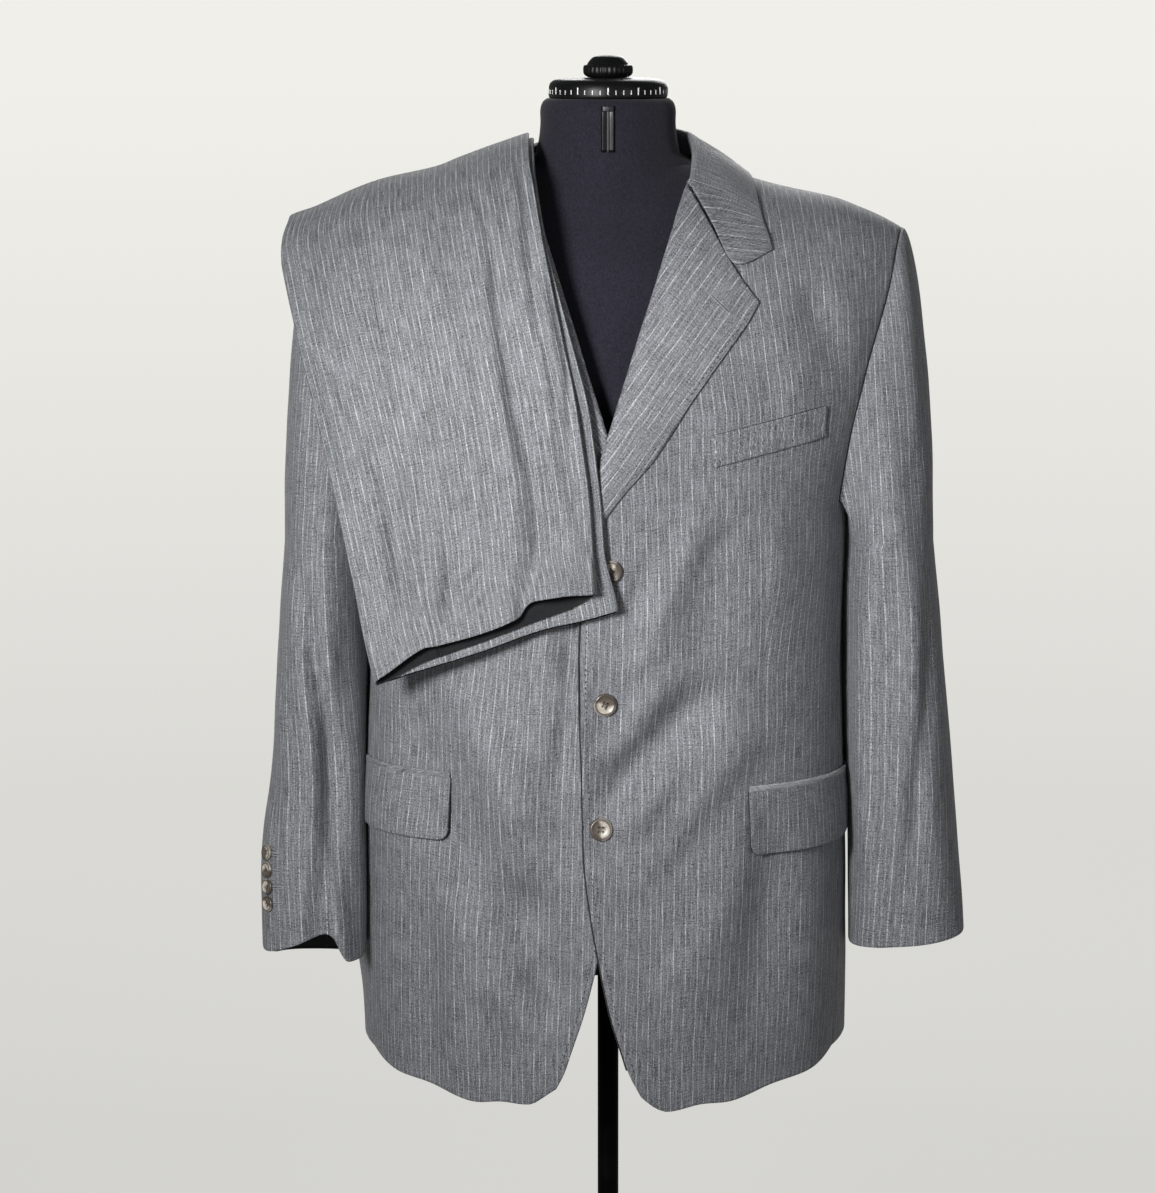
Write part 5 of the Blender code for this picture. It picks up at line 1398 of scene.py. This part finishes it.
# where a hole starts beside its button's middle: x and z in front, along the cuff; and its height
FRONT_HOLE_START = (0.0015, -0.0006)
CUFF_HOLE_START = 0.003
CUFF_HOLE_RISE, LAPEL_HOLE_RISE = 0.0004, 0.0044


def stitch_run(name, side, x, z, out):
    """Pick stitches on a front, along the line of x and z."""
    run = running(stacked(x, z), 0)
    parts = []
    for number in range(int(run[-1] / STITCH_STEP)):
        start = (number + 0.5) * STITCH_STEP + 0.0004 * math.sin(2.3 * number)
        at = start + STITCH * np.linspace(0.0, 1.0, 5)
        path = on_front(side, np.interp(at, run, x), np.interp(at, run, z), out)
        parts.append(tube_mesh(path, STITCH_RADII, 5))
    # the stitches are near black: painted shade of the dimple each stitch makes
    adopt(new_mesh(name + hand(side), *join_parts(parts), [THREAD_PAINTED_SHADE]))


def buttonhole(name, place, length, eye=True):
    """A worked hole: place(along, across, out) is on the cloth; the eye is at along 0."""
    half = 0.001
    turns = np.linspace(math.pi / 2, 3 * math.pi / 2, 15)
    radius = EYE_RADIUS if eye else half
    loop = [(radius * 0.6 + radius * math.cos(a), radius * math.sin(a)) for a in turns]
    side_along = np.linspace(0.0035, length, 42)
    end = [(length + 0.0006, -0.0005), (length + 0.0008, 0.0), (length + 0.0006, 0.0005)]
    outline = loop + [(x, -half) for x in side_along] + end + [(x, half) for x in side_along[::-1]]
    count = len(outline)
    flat = through(np.arange(count + 1), outline + outline[:1], np.linspace(0, count, 260)[:-1])
    bead = HOLE_BEAD * (1 + 0.3 * np.sin(np.arange(len(flat)) * 2 * math.pi / 3))
    points, faces = tube_mesh(place(flat[:, 0], flat[:, 1], 0.00015), bead, closed=True)
    # the slit is a near-black strip: painted shade in the cut
    slit_along = np.linspace(-0.0002, length, 12)
    slit = [place(slit_along, np.full(12, across), 0.00022) for across in (-0.00015, 0.00015)]
    slit_faces = grid_faces(2, 12) + len(points)
    obj = new_mesh(name, np.concatenate([points] + slit), [*faces, *slit_faces], [THREAD, THREAD_PAINTED_SHADE])
    marks = np.repeat((0, 1), (len(faces), len(slit_faces))).astype(np.int32)
    obj.data.polygons.foreach_set("material_index", marks)
    adopt(obj)


# shares of the radius and the thickness
BUTTON_SIDE = (
    (0.3, 0.6), (0.56, 0.63), (0.64, 0.72), (0.72, 0.94), (0.8, 1.0), (0.88, 0.96), (0.97, 0.8),
    (1.0, 0.6), (0.985, 0.3), (0.92, 0.0),
)
HOLE_GAP = 0.185
# a button of the front: how far round it the cloth gives its tilt, and its seat on the cloth
BUTTON_BED = 0.008
BUTTON_SEAT = 0.0007
# sewing thread: its radius, distance of its two runs from the middle, arch, and dive into a hole
SEW_RADIUS, SEW_APART, SEW_ARCH, SEW_DIVE = 0.00015, 0.00016, 0.00055, 0.0012


def button_master(name, size, horn, segments=72):
    """A drilled button of its size, facing +Z, with its base at the origin."""
    radius, thick = size
    profile = [(far * radius, high * thick) for far, high in BUTTON_SIDE]
    disc = turned(name + "_disc", profile, horn, segments)
    cutters = bmesh.new()
    gap = HOLE_GAP * radius
    for x in (-gap, gap):
        for y in (-gap, gap):
            place = Matrix.Translation((x, y, thick * 0.5))
            bmesh.ops.create_cone(cutters, cap_ends=True, segments=20, radius1=0.092 * radius,
                                  radius2=0.092 * radius, depth=3 * thick, matrix=place)
    drill = place_object(name + "_drill", from_bmesh(name + "_drill", cutters))
    cut = disc.modifiers.new("Holes", "BOOLEAN")
    cut.operation = "DIFFERENCE"
    cut.object = drill
    cut.solver = "EXACT"
    bpy.context.view_layer.update()
    evaluated = disc.evaluated_get(bpy.context.evaluated_depsgraph_get())
    mesh = bpy.data.meshes.new_from_object(evaluated)
    mesh.name = name
    mesh.materials.clear()
    mesh.materials.append(horn)
    mesh.shade_smooth()
    mesh.set_sharp_from_angle(angle=math.radians(38))
    for helper in (disc, drill):
        bpy.data.objects.remove(helper, do_unlink=True)
    return mesh


def sewing(name, size, matrix):
    """Thread through the four holes of a button at matrix."""
    radius, thick = size
    gap = HOLE_GAP * radius
    parts = []
    for side in (-1, 1):
        for shift in (-SEW_APART, SEW_APART):
            along = np.linspace(-1.0, 1.0, 9)
            high = 0.6 * thick + SEW_ARCH * (1 - along**4) - SEW_DIVE * (np.abs(along) > 0.99)
            path = stacked(along * gap, np.full(9, side * gap + shift), high)
            parts.append(tube_mesh(path, np.full(9, SEW_RADIUS), 6))
    obj = new_mesh(name, *join_parts(parts), [BUTTON_THREAD])
    obj.matrix_world = matrix
    adopt(obj)


def set_button(name, mesh, size, centre, normal, spin, node):
    turn = Vector(normal).to_track_quat("Z", "Y").to_matrix().to_4x4()
    matrix = Matrix.Translation(Vector(centre)) @ turn @ Matrix.Rotation(spin, 4, "Z")
    obj = place_object(name, mesh)
    obj.matrix_world = matrix
    adopt(obj, [node])
    sewing(name + "_thread", size, matrix)


def front_buttons(mesh):
    for number, z in enumerate(BUTTON_HEIGHTS, 1):
        x = float(smooth(CENTRE_LINE, z))
        centre = on_front(1, x, z, BUTTON_SEAT)
        right = on_front(1, x + BUTTON_BED, z) - on_front(1, x - BUTTON_BED, z)
        up = on_front(1, x, z + BUTTON_BED) - on_front(1, x, z - BUTTON_BED)
        normal = unit(np.cross(right, up))
        set_button("horn_front_%d" % number, mesh, BUTTON, centre, normal, 0.6 + 1.9 * number,
                   "button_front_%d" % number)

        def place(along, across, out):
            start_x, start_z = x + FRONT_HOLE_START[0], z + FRONT_HOLE_START[1]
            return on_front(1, start_x + np.asarray(along), start_z + np.asarray(across), out)
        buttonhole("buttonhole_front_%d" % number, place, FRONT_HOLE)


def away_from(inside, point, normal):
    """Normals at points, turned to face away from a place inside."""
    return normal * np.sign(np.sum(normal * (point - inside), axis=-1, keepdims=True))


def cuff_buttons(side, mesh):
    share = SLEEVE_SEAMS[1] - 1 + CUFF_BUTTON_IN[side]
    for number in range(4):
        own = "%s_%d" % (hand(side), number + 1)
        z = CUFF_BUTTON_TOP - number * CUFF_BUTTON_STEP
        inside = np.array((side * ARM_MIDDLE[0], ARM_MIDDLE[1], z))
        centre = sleeve_ring(side, share, z)
        along = sleeve_ring(side, share + 0.01, z) - sleeve_ring(side, share - 0.01, z)
        down = sleeve_ring(side, share, z - 0.01) - sleeve_ring(side, share, z + 0.01)
        normal = away_from(inside, centre, unit(np.cross(along, down)))
        set_button("horn_cuff_" + own, mesh, CUFF_BUTTON, centre + normal * CUFF_SEAT, normal,
                   0.4 + 1.3 * number, "cuff_button_" + own)

        def place(run, across, out):
            at = share + (CUFF_HOLE_START + np.asarray(run)) / CUFF_ROUND
            point = sleeve_ring(side, at, z + np.asarray(across))
            ahead = sleeve_ring(side, at + 0.005, z) - sleeve_ring(side, at - 0.005, z)
            outward = away_from(inside, point, unit(np.cross(ahead, (0.0, 0.0, 1.0))))
            return point + outward * (out + CUFF_HOLE_RISE)
        buttonhole("buttonhole_cuff_" + own, place, CUFF_HOLE, eye=False)


def edge_stitches():
    """Pick stitches beside the edges of the fronts and lapels, and a dark line under the left front's
    edge: painted shadow of the lap.
    """
    heights = np.linspace(1.15, 0.67, 160)
    # the dark line under the left front's edge is painted shadow
    facing = on_body(front_x(1, heights) - 0.0006, heights, 0.0012)
    painted_shadow_line("painted_shadow_line_left_front", facing, 0.0009)
    for side in (1, -1):
        z = np.linspace(*STITCHED, 400)
        x = side * front_x(side, z) + EDGE_INSET[0]
        stitch_run("pick_stitch_front_", side, x, z, STITCH_RISE[0])
        z = np.linspace(LAPEL_EDGE[0][0] + 0.02, LAPEL_EDGE[-1][0], 200)
        x = smooth(LAPEL_EDGE, z) - EDGE_INSET[1]
        stitch_run("pick_stitch_lapel_", side, x, z, STITCH_RISE[1])

    def on_lapel(along, across, out):
        along, across = np.asarray(along), np.asarray(across)
        x = LAPEL_HOLE[0] + LAPEL_HOLE_WAY[0] * along - LAPEL_HOLE_WAY[1] * across
        z = LAPEL_HOLE[1] + LAPEL_HOLE_WAY[1] * along + LAPEL_HOLE_WAY[0] * across
        return on_front(1, x, z, out + LAPEL_HOLE_RISE)
    buttonhole("buttonhole_lapel", on_lapel, LAPEL_CUT, eye=False)


# ---- the trousers

# rounds of a crease, in degrees from its outer side to its inner one
CREASE = np.arange(18.0, 180.0, 18.0)


def bed(x, level, face, out):
    """A place over the shoulder: level is a height below its front or back, or a share of the top."""
    low = BED_LOW[0] + BED_LOW[1] * (x - BED_LOW[2])
    top = smooth(BED_LINE, np.abs(x)) + out
    y = face * (BED_DEPTH[face] + out) * rounded(x / BED_WIDTH, BED_POWER)
    rise = np.radians(90 * np.clip(level, 0.0, 1.0))
    z = np.where(level <= 0, low + level, low + (top - low) * np.sin(rise)**(2 / BED_SIDE_POWER))
    y = np.where(level <= 0, y, y * np.maximum(np.cos(rise), 0.0)**(2 / BED_SIDE_POWER))
    return stacked(x, y, z)


def layers(level, face):
    """How far the four walls of the two legs lie above the bed, from the lowest."""
    open_hem = float(ease(-0.02, -0.088, level)) if face < 0 else 0.0
    open_waist = float(ease(0.0, 0.3, -level)) if face > 0 else 0.0
    under = (LEG_GAP, LEG_GAP + LEG_THICKNESS + HEM_OPEN[0] * open_hem)
    inner = under[1] + LEGS_APART
    outer = inner + LEG_THICKNESS + HEM_OPEN[1] * open_hem + WAIST_OPEN * open_waist
    return under + (inner, outer)


def leg_row(level, face, upper, left_half, outer_steps, inner_steps):
    """One section of a trouser panel, from its side seam round the crease to its inseam."""
    under_in, under_out, upper_in, upper_out = layers(level, face)
    table = LEG_FRONT if face < 0 else LEG_BACK
    left, right = float(smooth(table, level, 1)), float(smooth(table, level, 2))
    if not upper:
        shown = float(ease(0.7, -0.08, level)) if face < 0 else 0.0
        left += UNDER_LEG[0] * shown
        right += UNDER_LEG[1] * shown
        if face < 0:
            right += sum(out * float(ease(low, high, level)) for low, high, out in UNDER_LEG_EDGE)
    seams = SIDE_LINE if face < 0 else SIDE_LINE_BACK
    side_share, inner_share = float(smooth(seams, level, 1)), float(smooth(seams, level, 2))
    width = right - left
    far, near = (upper_out, upper_in) if upper else (under_in, under_out)
    radius = abs(far - near) / 2
    middle = (far + near) / 2
    towards = 1 if far > near else -1
    edge, inward = (left, 1) if left_half else (right, -1)
    if not left_half:
        side_share, inner_share = 1 - side_share, 1 - inner_share
    reach, inner_reach = side_share * width, inner_share * width
    a = np.radians(CREASE)
    x = np.concatenate((edge + inward * mix(reach, radius, outer_steps),
                        edge + inward * radius * (1 - np.sin(a)),
                        edge + inward * mix(radius, inner_reach, inner_steps)))
    out = np.concatenate((np.full(len(outer_steps), far), middle + towards * radius * np.cos(a),
                          np.full(len(inner_steps), near)))
    whole = (upper_out - under_in) / 2
    centre = (upper_out + under_in) / 2
    rest = len(CREASE) + len(inner_steps)
    b = np.radians(HIP_TURN * np.arange(1, rest + 1) / rest)
    x_joined = np.concatenate((edge + inward * mix(reach, whole, outer_steps),
                               edge + inward * whole * (1 - np.sin(b))))
    out_joined = np.concatenate((np.full(len(outer_steps), far), centre + towards * whole * np.cos(b)))
    joined = float(ease(CROTCH_LEVEL, SEAT_LEVEL, level)) if face > 0 else 0.0
    x, out = mix(x, x_joined, joined), mix(out, out_joined, joined)
    at = np.full_like(x, level)
    if face < 0 and level < 0:
        drop = HEM_DROP * (upper_out - out) / (upper_out - under_in)
        rise = HEM_RISE * ease(0.0, 1.0, (x - left) / width)
        at = level * (1 - rise) - drop * level / HEM_LEVEL
    return x, at, out


def hang_hem(base, level, out, upper):
    """The uneven hems in front: each layer of the lowest part moves up or down along its cloth."""
    share = ease(HEM_LEVEL + HEM_REACH, HEM_LEVEL, level)
    if upper:
        inner, outer = layers(level, -1)[2:]
        rise = mix(smooth(HEM_BACK, base[:, 0]), smooth(HEM_FRONT, base[:, 0]), ease(inner, outer, out))
    else:
        rise = smooth(HEM_UNDER, base[:, 0])
    base[:, 2] += rise * share
    return base


def trouser_grid(levels_front, levels_back, upper, left_half, steps):
    """Rows of points along a leg with its folds, and the same without."""
    rows, plain = [], []
    for face, levels in ((-1, levels_front), (1, levels_back)):
        for level in levels:
            x, at, out = leg_row(level, face, upper, left_half, *steps)
            base = bed(x, at, face, out)
            plain.append(base)
            if upper:
                lines = TROUSER_FRONT_FOLDS if face < 0 else TROUSER_BACK_FOLDS
                far = layers(level, face)[3]
                shown = ease(far - 0.003, far, out)
                across, z = base[:, 0], base[:, 2]
                soft = folds(lines, across, z) + 0.0004 * ripple(across, z, 2.0, 0.09)
                soft = soft + TROUSER_LIFT * ease(*LIFT_FADE, z)
                shown = shown * ease(*SHOULDER_FADE, z)
                pipe = sum(depth * np.exp(-((across - at_x) / wide)**2) for at_x, wide, depth in PIPE)
                pipe = pipe * ease(*PIPE_START, level) * (face < 0)
                base = bed(x, at, face, out + shown * np.maximum(soft + pipe, FOLD_FLOOR))
            if face < 0:
                base = hang_hem(base, level, out, upper)
            rows.append(base)
    return np.array(rows), np.array(plain)


def trouser_cloth(node, points, places, outward, column):
    points = round_off(points, outward, 0.0003, 0.0009, column)
    # the inner side in the near-black copy of the cloth: painted shade
    cloth("cloth_" + node, points, places, (TROUSERING, TROUSER_INSIDE_PAINTED_SHADE), TROUSER_WALL, outward, node,
          column=column)


def trouser_panel(upper, left_half):
    steps = (spread(0.055, 0.004) if left_half else spread(0.145, 0.0036),
             np.linspace(0.0, 1.0, 9 if left_half else 15))
    closing = np.array((0.0, 0.0007, 0.0018))
    levels_front = np.concatenate((HEM_LEVEL + closing, np.linspace(HEM_LEVEL + 0.004, 0.0, 15),
                                   np.linspace(0.016, 0.985, 62)))
    levels_back = np.concatenate((np.linspace(1.0, 0.0, 66), np.linspace(-0.006, WAIST_PANEL + 0.004, 42),
                                  WAIST_PANEL + closing[::-1]))
    points, plain = trouser_grid(levels_front, levels_back, upper, left_half, steps)
    crease = len(steps[0]) + len(CREASE) // 2
    across, down = running(plain, 1), running(plain, 0).mean(axis=1)
    u = across[:, crease:crease + 1] - across + STRIPE_START
    places = stacked(u, np.repeat(down[:, None], points.shape[1], axis=1))
    node = "trouser_%s_%s" % ("left" if upper else "right", "front" if left_half else "back")
    trouser_cloth(node, points, places, (0, 0.2, 1) if upper else (0, -0.2, -1), len(steps[0]) // 2)


def waistband(upper):
    steps = (spread(0.12, 0.005), np.linspace(0.0, 1.0, 10))
    shares = np.concatenate(((0.0, 0.02, 0.05), np.linspace(0.1, 0.9, 8), (0.95, 0.98, 1.0)))
    rows = []
    for share in shares:
        level = mix(WAIST_SEAM, WAIST_EDGE, share)
        halves = []
        for left_half in (True, False):
            x, at, out = leg_row(level, 1, upper, left_half, *steps)
            halves.append(bed(x, at, 1, out))
        left, right = halves
        rows.append(np.concatenate((left[:0:-1], ((left[0] + right[0]) / 2)[None], right[1:])))
    points = np.array(rows)
    places = stacked(running(points, 1), running(points, 0))
    trouser_cloth("waistband_" + ("left" if upper else "right"), points, places,
                  BACK_WAY if upper else FRONT_WAY, points.shape[1] // 2)


# ---- the dress form

def form_ring(wide, z, fit, turns):
    """Round the torso at a height: the trunk's section joined with the neck's."""
    neck_width, neck_depth = smooth(FORM_NECK, z, 1), smooth(FORM_NECK, z, 2)
    depth_front, depth_back = (smooth(BODY_SECTIONS, min(z, ARM_Z), k) * fit for k in (3, 4))
    x = wide * power_of(np.sin(turns), FORM_SPACING)
    reach = max(wide, FORM_TOP[1]) if z > FORM_TOP[0] else wide
    trunk = rounded(x / reach, FORM_POWER)
    if z > ARM_Z:
        top = shoulder_line(x) - FORM_CLEAR
        trunk = trunk * rounded((z - ARM_Z) / (top - ARM_Z), FORM_SIDE_POWER)
    front = np.cos(turns) > 0
    y = trunk * np.where(front, depth_front, depth_back)
    if z > FORM_NECK[0][0]:
        y = (y**6 + (neck_depth * rounded(x / neck_width, 2.0))**6) ** (1 / 6)
    return stacked(x, np.where(front, -y, y), np.full_like(x, z))


def torso():
    count = 128
    turns = 2 * np.pi * np.arange(count) / count
    rings = []
    for z in np.concatenate(((0.8, 0.8012, 0.804), np.linspace(0.81, 1.43, 90), (1.4395,))):
        width, fit = float(smooth(FORM_SECTIONS, z)), float(smooth(FORM_SECTIONS, z, 2))
        rings.append(form_ring(width, float(z), fit, turns))
    shoulder = (FORM_SECTIONS[-1][1],) + FORM_SHOULDER
    widths = through(np.arange(7), shoulder, np.linspace(0, 6, 25))[1:]
    for width in widths:
        rings.append(form_ring(float(width), float(shoulder_line(width) - FORM_CLEAR), FORM_FIT, turns))
    for z in np.concatenate((np.linspace(1.481, 1.521, 16), np.linspace(1.523, 1.5305, 8))):
        width, depth = smooth(FORM_NECK, z, 1), smooth(FORM_NECK, z, 2)
        rings.append(stacked(width * np.sin(turns), -depth * np.cos(turns), np.full(count, z)))
    faces = ring_faces(len(rings), count) + end_faces(len(rings), count)
    obj = new_mesh("jersey_torso", np.concatenate(rings), faces, [JERSEY])
    adopt(obj, ["form_torso"])


def neck_slot():
    """The dark channel, its two lips and the pale rail in it."""
    z = np.linspace(SLOT_RANGE[0], SLOT_RANGE[1], 16)
    radius = smooth(FORM_NECK, z, 2)

    def strip(name, xs, outs, stuff, nodes):
        points = [(x, -math.sqrt((r + out)**2 - x * x), height)
                  for r, height in zip(radius, z) for x, out in zip(xs, outs)]
        obj = new_mesh(name, points, grid_faces(len(z), len(xs)), [stuff])
        thicken(obj, 0.0006, 1.0)
        adopt(obj, nodes)

    half = SLOT_WIDTH / 2
    strip("slot_channel", (-half, -0.0046, -0.004, -0.003, 0.003, 0.004, 0.0046, half),
          (0.0004, 0.0012, 0.001, 0.0003, 0.0003, 0.001, 0.0012, 0.0004), PLASTIC, ["neck_slot"])
    strip("slot_rail_line", (-0.0009, 0.0, 0.0009), (0.0009, 0.0012, 0.0009), RAIL, [])


def latch_box(name, size, centre, nodes, bevel):
    shape = bmesh.new()
    place = Matrix.Translation(centre) @ Matrix.Diagonal((*size, 1.0))
    bmesh.ops.create_cube(shape, size=1.0, matrix=place)
    bmesh.ops.bevel(shape, geom=shape.edges[:], offset=bevel, segments=3, affect="EDGES", profile=0.5)
    mesh = from_bmesh(name, shape, [METAL])
    mesh.shade_smooth()
    mesh.set_sharp_from_angle(angle=math.radians(45))
    adopt(place_object(name, mesh), nodes)


# radius, height
DIAL_SIDE = (
    (0.033, 1.549), (0.048, 1.5475), (0.0525, 1.5445), (0.0538, 1.54), (0.054, 1.533), (0.053, 1.5308),
)
DIAL_RADIUS = 0.054
# the dial's ticks: how many, height of their foot, depth; width and height of each fourth, and of the rest
TICKS = 48
TICK_FOOT = 1.5346
TICK_DEPTH = 0.0005
LONG_TICK = (0.001, 0.0062)
SHORT_TICK = (0.0007, 0.0038)
KNOB_RIBS = 30
BASE_SIDE = (
    (0.158, 0.01405), (0.17, 0.0136), (0.19, 0.011), (0.1975, 0.007), (0.199, 0.003), (0.1975, 0.0),
)
HUB_SIDE = ((0.017, 0.07), (0.0205, 0.066), (0.022, 0.04), (0.03, 0.023), (0.03, 0.01433))
POLE_SIDE = ((0.009, 0.7996), (0.0098, 0.799), (0.0098, 0.0703))
KNOB_SIDE = (
    (0.007, 1.569), (0.014, 1.5675), (0.0182, 1.5625), (0.019, 1.5605), (0.0224, 1.56),
    (0.0226, 1.5535), (0.021, 1.551), (0.018, 1.5493),
)


def neck_gear():
    adopt(turned("dial_plate", eased(DIAL_SIDE), PLASTIC, 128), ["neck_dial"])
    adopt(grip_knob(), ["neck_knob"], KNOB_BODY)
    ticks = bmesh.new()
    for number in range(TICKS):
        wide, tall = SHORT_TICK if number % 4 else LONG_TICK
        place = (Matrix.Rotation(2 * math.pi * number / TICKS, 4, "Z")
                 @ Matrix.Translation((0.0, -DIAL_RADIUS, TICK_FOOT + tall / 2))
                 @ Matrix.Diagonal((wide, TICK_DEPTH, tall, 1.0)))
        bmesh.ops.create_cube(ticks, size=1.0, matrix=place)
    adopt(place_object("dial_ticks", from_bmesh("dial_ticks", ticks, [MARK])))
    latch_box("latch_plate", LATCH, LATCH_CENTRE, ["neck_latch"], 0.0006)
    latch_box("latch_lever", (0.005, 0.0012, 0.0014), (0.0012, -0.0653, 1.5228), [], 0.0003)


def grip_knob():
    """The turning knob: a domed cap over a ribbed grip."""
    profile = np.array(eased(KNOB_SIDE))
    count = 180
    turns = 2 * np.pi * np.arange(count) / count
    ribs = 0.5 - 0.5 * np.cos(turns * KNOB_RIBS)
    points = [(0.0, 0.0, profile[0][1])]
    for radius, z in profile:
        depth = 0.0008 * float(ease(0.019, 0.0215, radius)) * ribs
        points += [(r * math.cos(a), r * math.sin(a), z) for r, a in zip(radius - depth, turns)]
    points.append((0.0, 0.0, profile[-1][1]))
    last, base = len(points) - 1, 1 + (len(profile) - 1) * count
    faces = [(0, 1 + k, 1 + (k + 1) % count) for k in range(count)]
    faces += [face[::-1] for face in ring_faces(len(profile), count, 1)]
    faces += [(last, base + (k + 1) % count, base + k) for k in range(count)]
    return new_mesh("grip_knob", points, faces, [PLASTIC])


def stand():
    base, hub, tube = eased(BASE_SIDE), eased(HUB_SIDE), POLE_SIDE
    for name, profile, segments, node in (("base_disc", base, 160, "base_plate"),
                                          ("base_collar", hub, 96, "base_hub"),
                                          ("steel_pole", tube, 64, "pole")):
        adopt(turned(name, profile, ENAMEL, segments), [node])


# ---- camera, light and floor

def light(name, energy, location, target, size, cone=180.0):
    data = bpy.data.lights.new(name, "AREA")
    data.energy = energy
    data.spread = math.radians(cone)
    data.shape = "DISK"
    data.size = size
    aim(place_object(name, data), location, target)


def aim(obj, location, target):
    obj.location = location
    obj.rotation_euler = (Vector(target) - Vector(location)).to_track_quat("-Z", "Y").to_euler()


def pale_floor_painted_falloff():
    """The floor glows with its tone, one colour near the stand, another far away: the darker one near the
    stand is painted shade, light falling off; its base is little lit by the lamps.
    """
    floor = bmesh.new()
    bmesh.ops.create_grid(floor, x_segments=1, y_segments=1, size=90.0)
    pale = Stuff("pale_floor_painted_falloff", 0.95, Specular_IOR_Level=0.0)
    place = pale.own_place()
    away = pale.node("VectorMath", {0: place}, output=1, operation="LENGTH")
    # darker near the stand, lighter far away: painted shade of the light falling off
    near = pale.linear(pale.maths("DIVIDE", 5.2, pale.maths("ADD", away, 3.3)), 0.0, 1.0)
    tone = pale.blend(near, rgb(0.868, 0.86, 0.819), rgb(0.6, 0.595, 0.57))
    pale.colour(rgb(0.13, 0.13, 0.126))
    pale.put(pale.shader.inputs["Emission Color"], tone)
    seen = pale.node("LightPath", {}, output=0)
    strength = pale.linear(seen, 0.0, 1.0, 0.3, 1.0)
    pale.put(pale.shader.inputs["Emission Strength"], strength)
    obj = place_object("studio_floor", from_bmesh("studio_floor", floor, [pale.material]))
    obj.location.z = -0.0005


def wall_light():
    """The world: a weak cool light, seen straight as the pale wall."""
    world = bpy.data.worlds.new("studio_world")
    world.use_nodes = True
    tree = world.node_tree
    background = tree.nodes["Background"]
    background.inputs["Color"].default_value = (0.97, 0.985, 1.0, 1.0)
    background.inputs["Strength"].default_value = 0.15
    seen = tree.nodes.new("ShaderNodeBackground")
    seen.inputs["Color"].default_value = (0.871, 0.863, 0.823, 1.0)
    path = tree.nodes.new("ShaderNodeLightPath")
    choose = tree.nodes.new("ShaderNodeMixShader")
    tree.links.new(path.outputs["Is Camera Ray"], choose.inputs[0])
    tree.links.new(background.outputs[0], choose.inputs[1])
    tree.links.new(seen.outputs[0], choose.inputs[2])
    tree.links.new(choose.outputs[0], tree.nodes["World Output"].inputs["Surface"])
    bpy.context.scene.world = world


def studio():
    pale_floor_painted_falloff()
    light("key_left", 6.4, (-0.85, -1.85, 1.62), (0.03, -0.1, 1.2), 0.45, 60.0)
    light("fill_right", 4.9, (1.4, -1.9, 1.6), (0.0, 0.0, 1.15), 0.5)
    light("rim_back", 32.0, (0.5, 2.8, 2.4), (0.0, 0.0, 1.1), 1.6)
    wall_light()
    camera = bpy.data.cameras.new("photo_camera")
    camera.lens = 109.07
    camera.sensor_width = 36.0
    camera.shift_x = -0.0256
    eye = place_object("photo_camera", camera)
    aim(eye, (0.0, -3.3, 1.6), (0.0, -0.1, 1.09))
    bpy.context.scene.camera = eye
    bpy.context.scene.view_settings.view_transform = "Standard"


# ---- put together

studio()
for own_side in (1, -1):
    front_panel(own_side)
    side_panel(own_side)
    back_panel(own_side)
    lapel(own_side)
    sleeve(own_side, True)
    sleeve(own_side, False)
    # a dark line along the armhole seam: painted shadow in the gap between sleeve and body
    armhole_shadow_path = armhole_point(own_side, np.linspace(0.0, 0.999, 240), -0.0011)
    painted_shadow_line("armhole_painted_shadow_line_" + hand(own_side), armhole_shadow_path, 0.0012)
collar()
breast_welt()
for pocket in FLAPS:
    flap_and_jet(*pocket)
front_buttons(button_master("front_button", BUTTON, HORN))
cuff_button = button_master("cuff_button", CUFF_BUTTON, CUFF_HORN, 56)
for own_side in (1, -1):
    cuff_buttons(own_side, cuff_button)
edge_stitches()
for top_leg in (True, False):
    waistband(top_leg)
    for half in (True, False):
        trouser_panel(top_leg, half)
torso()
neck_slot()
neck_gear()
stand()

for name, (wide, long, area) in cuts.items():
    if "jet" in name:
        area = JET_CUT * wide * long
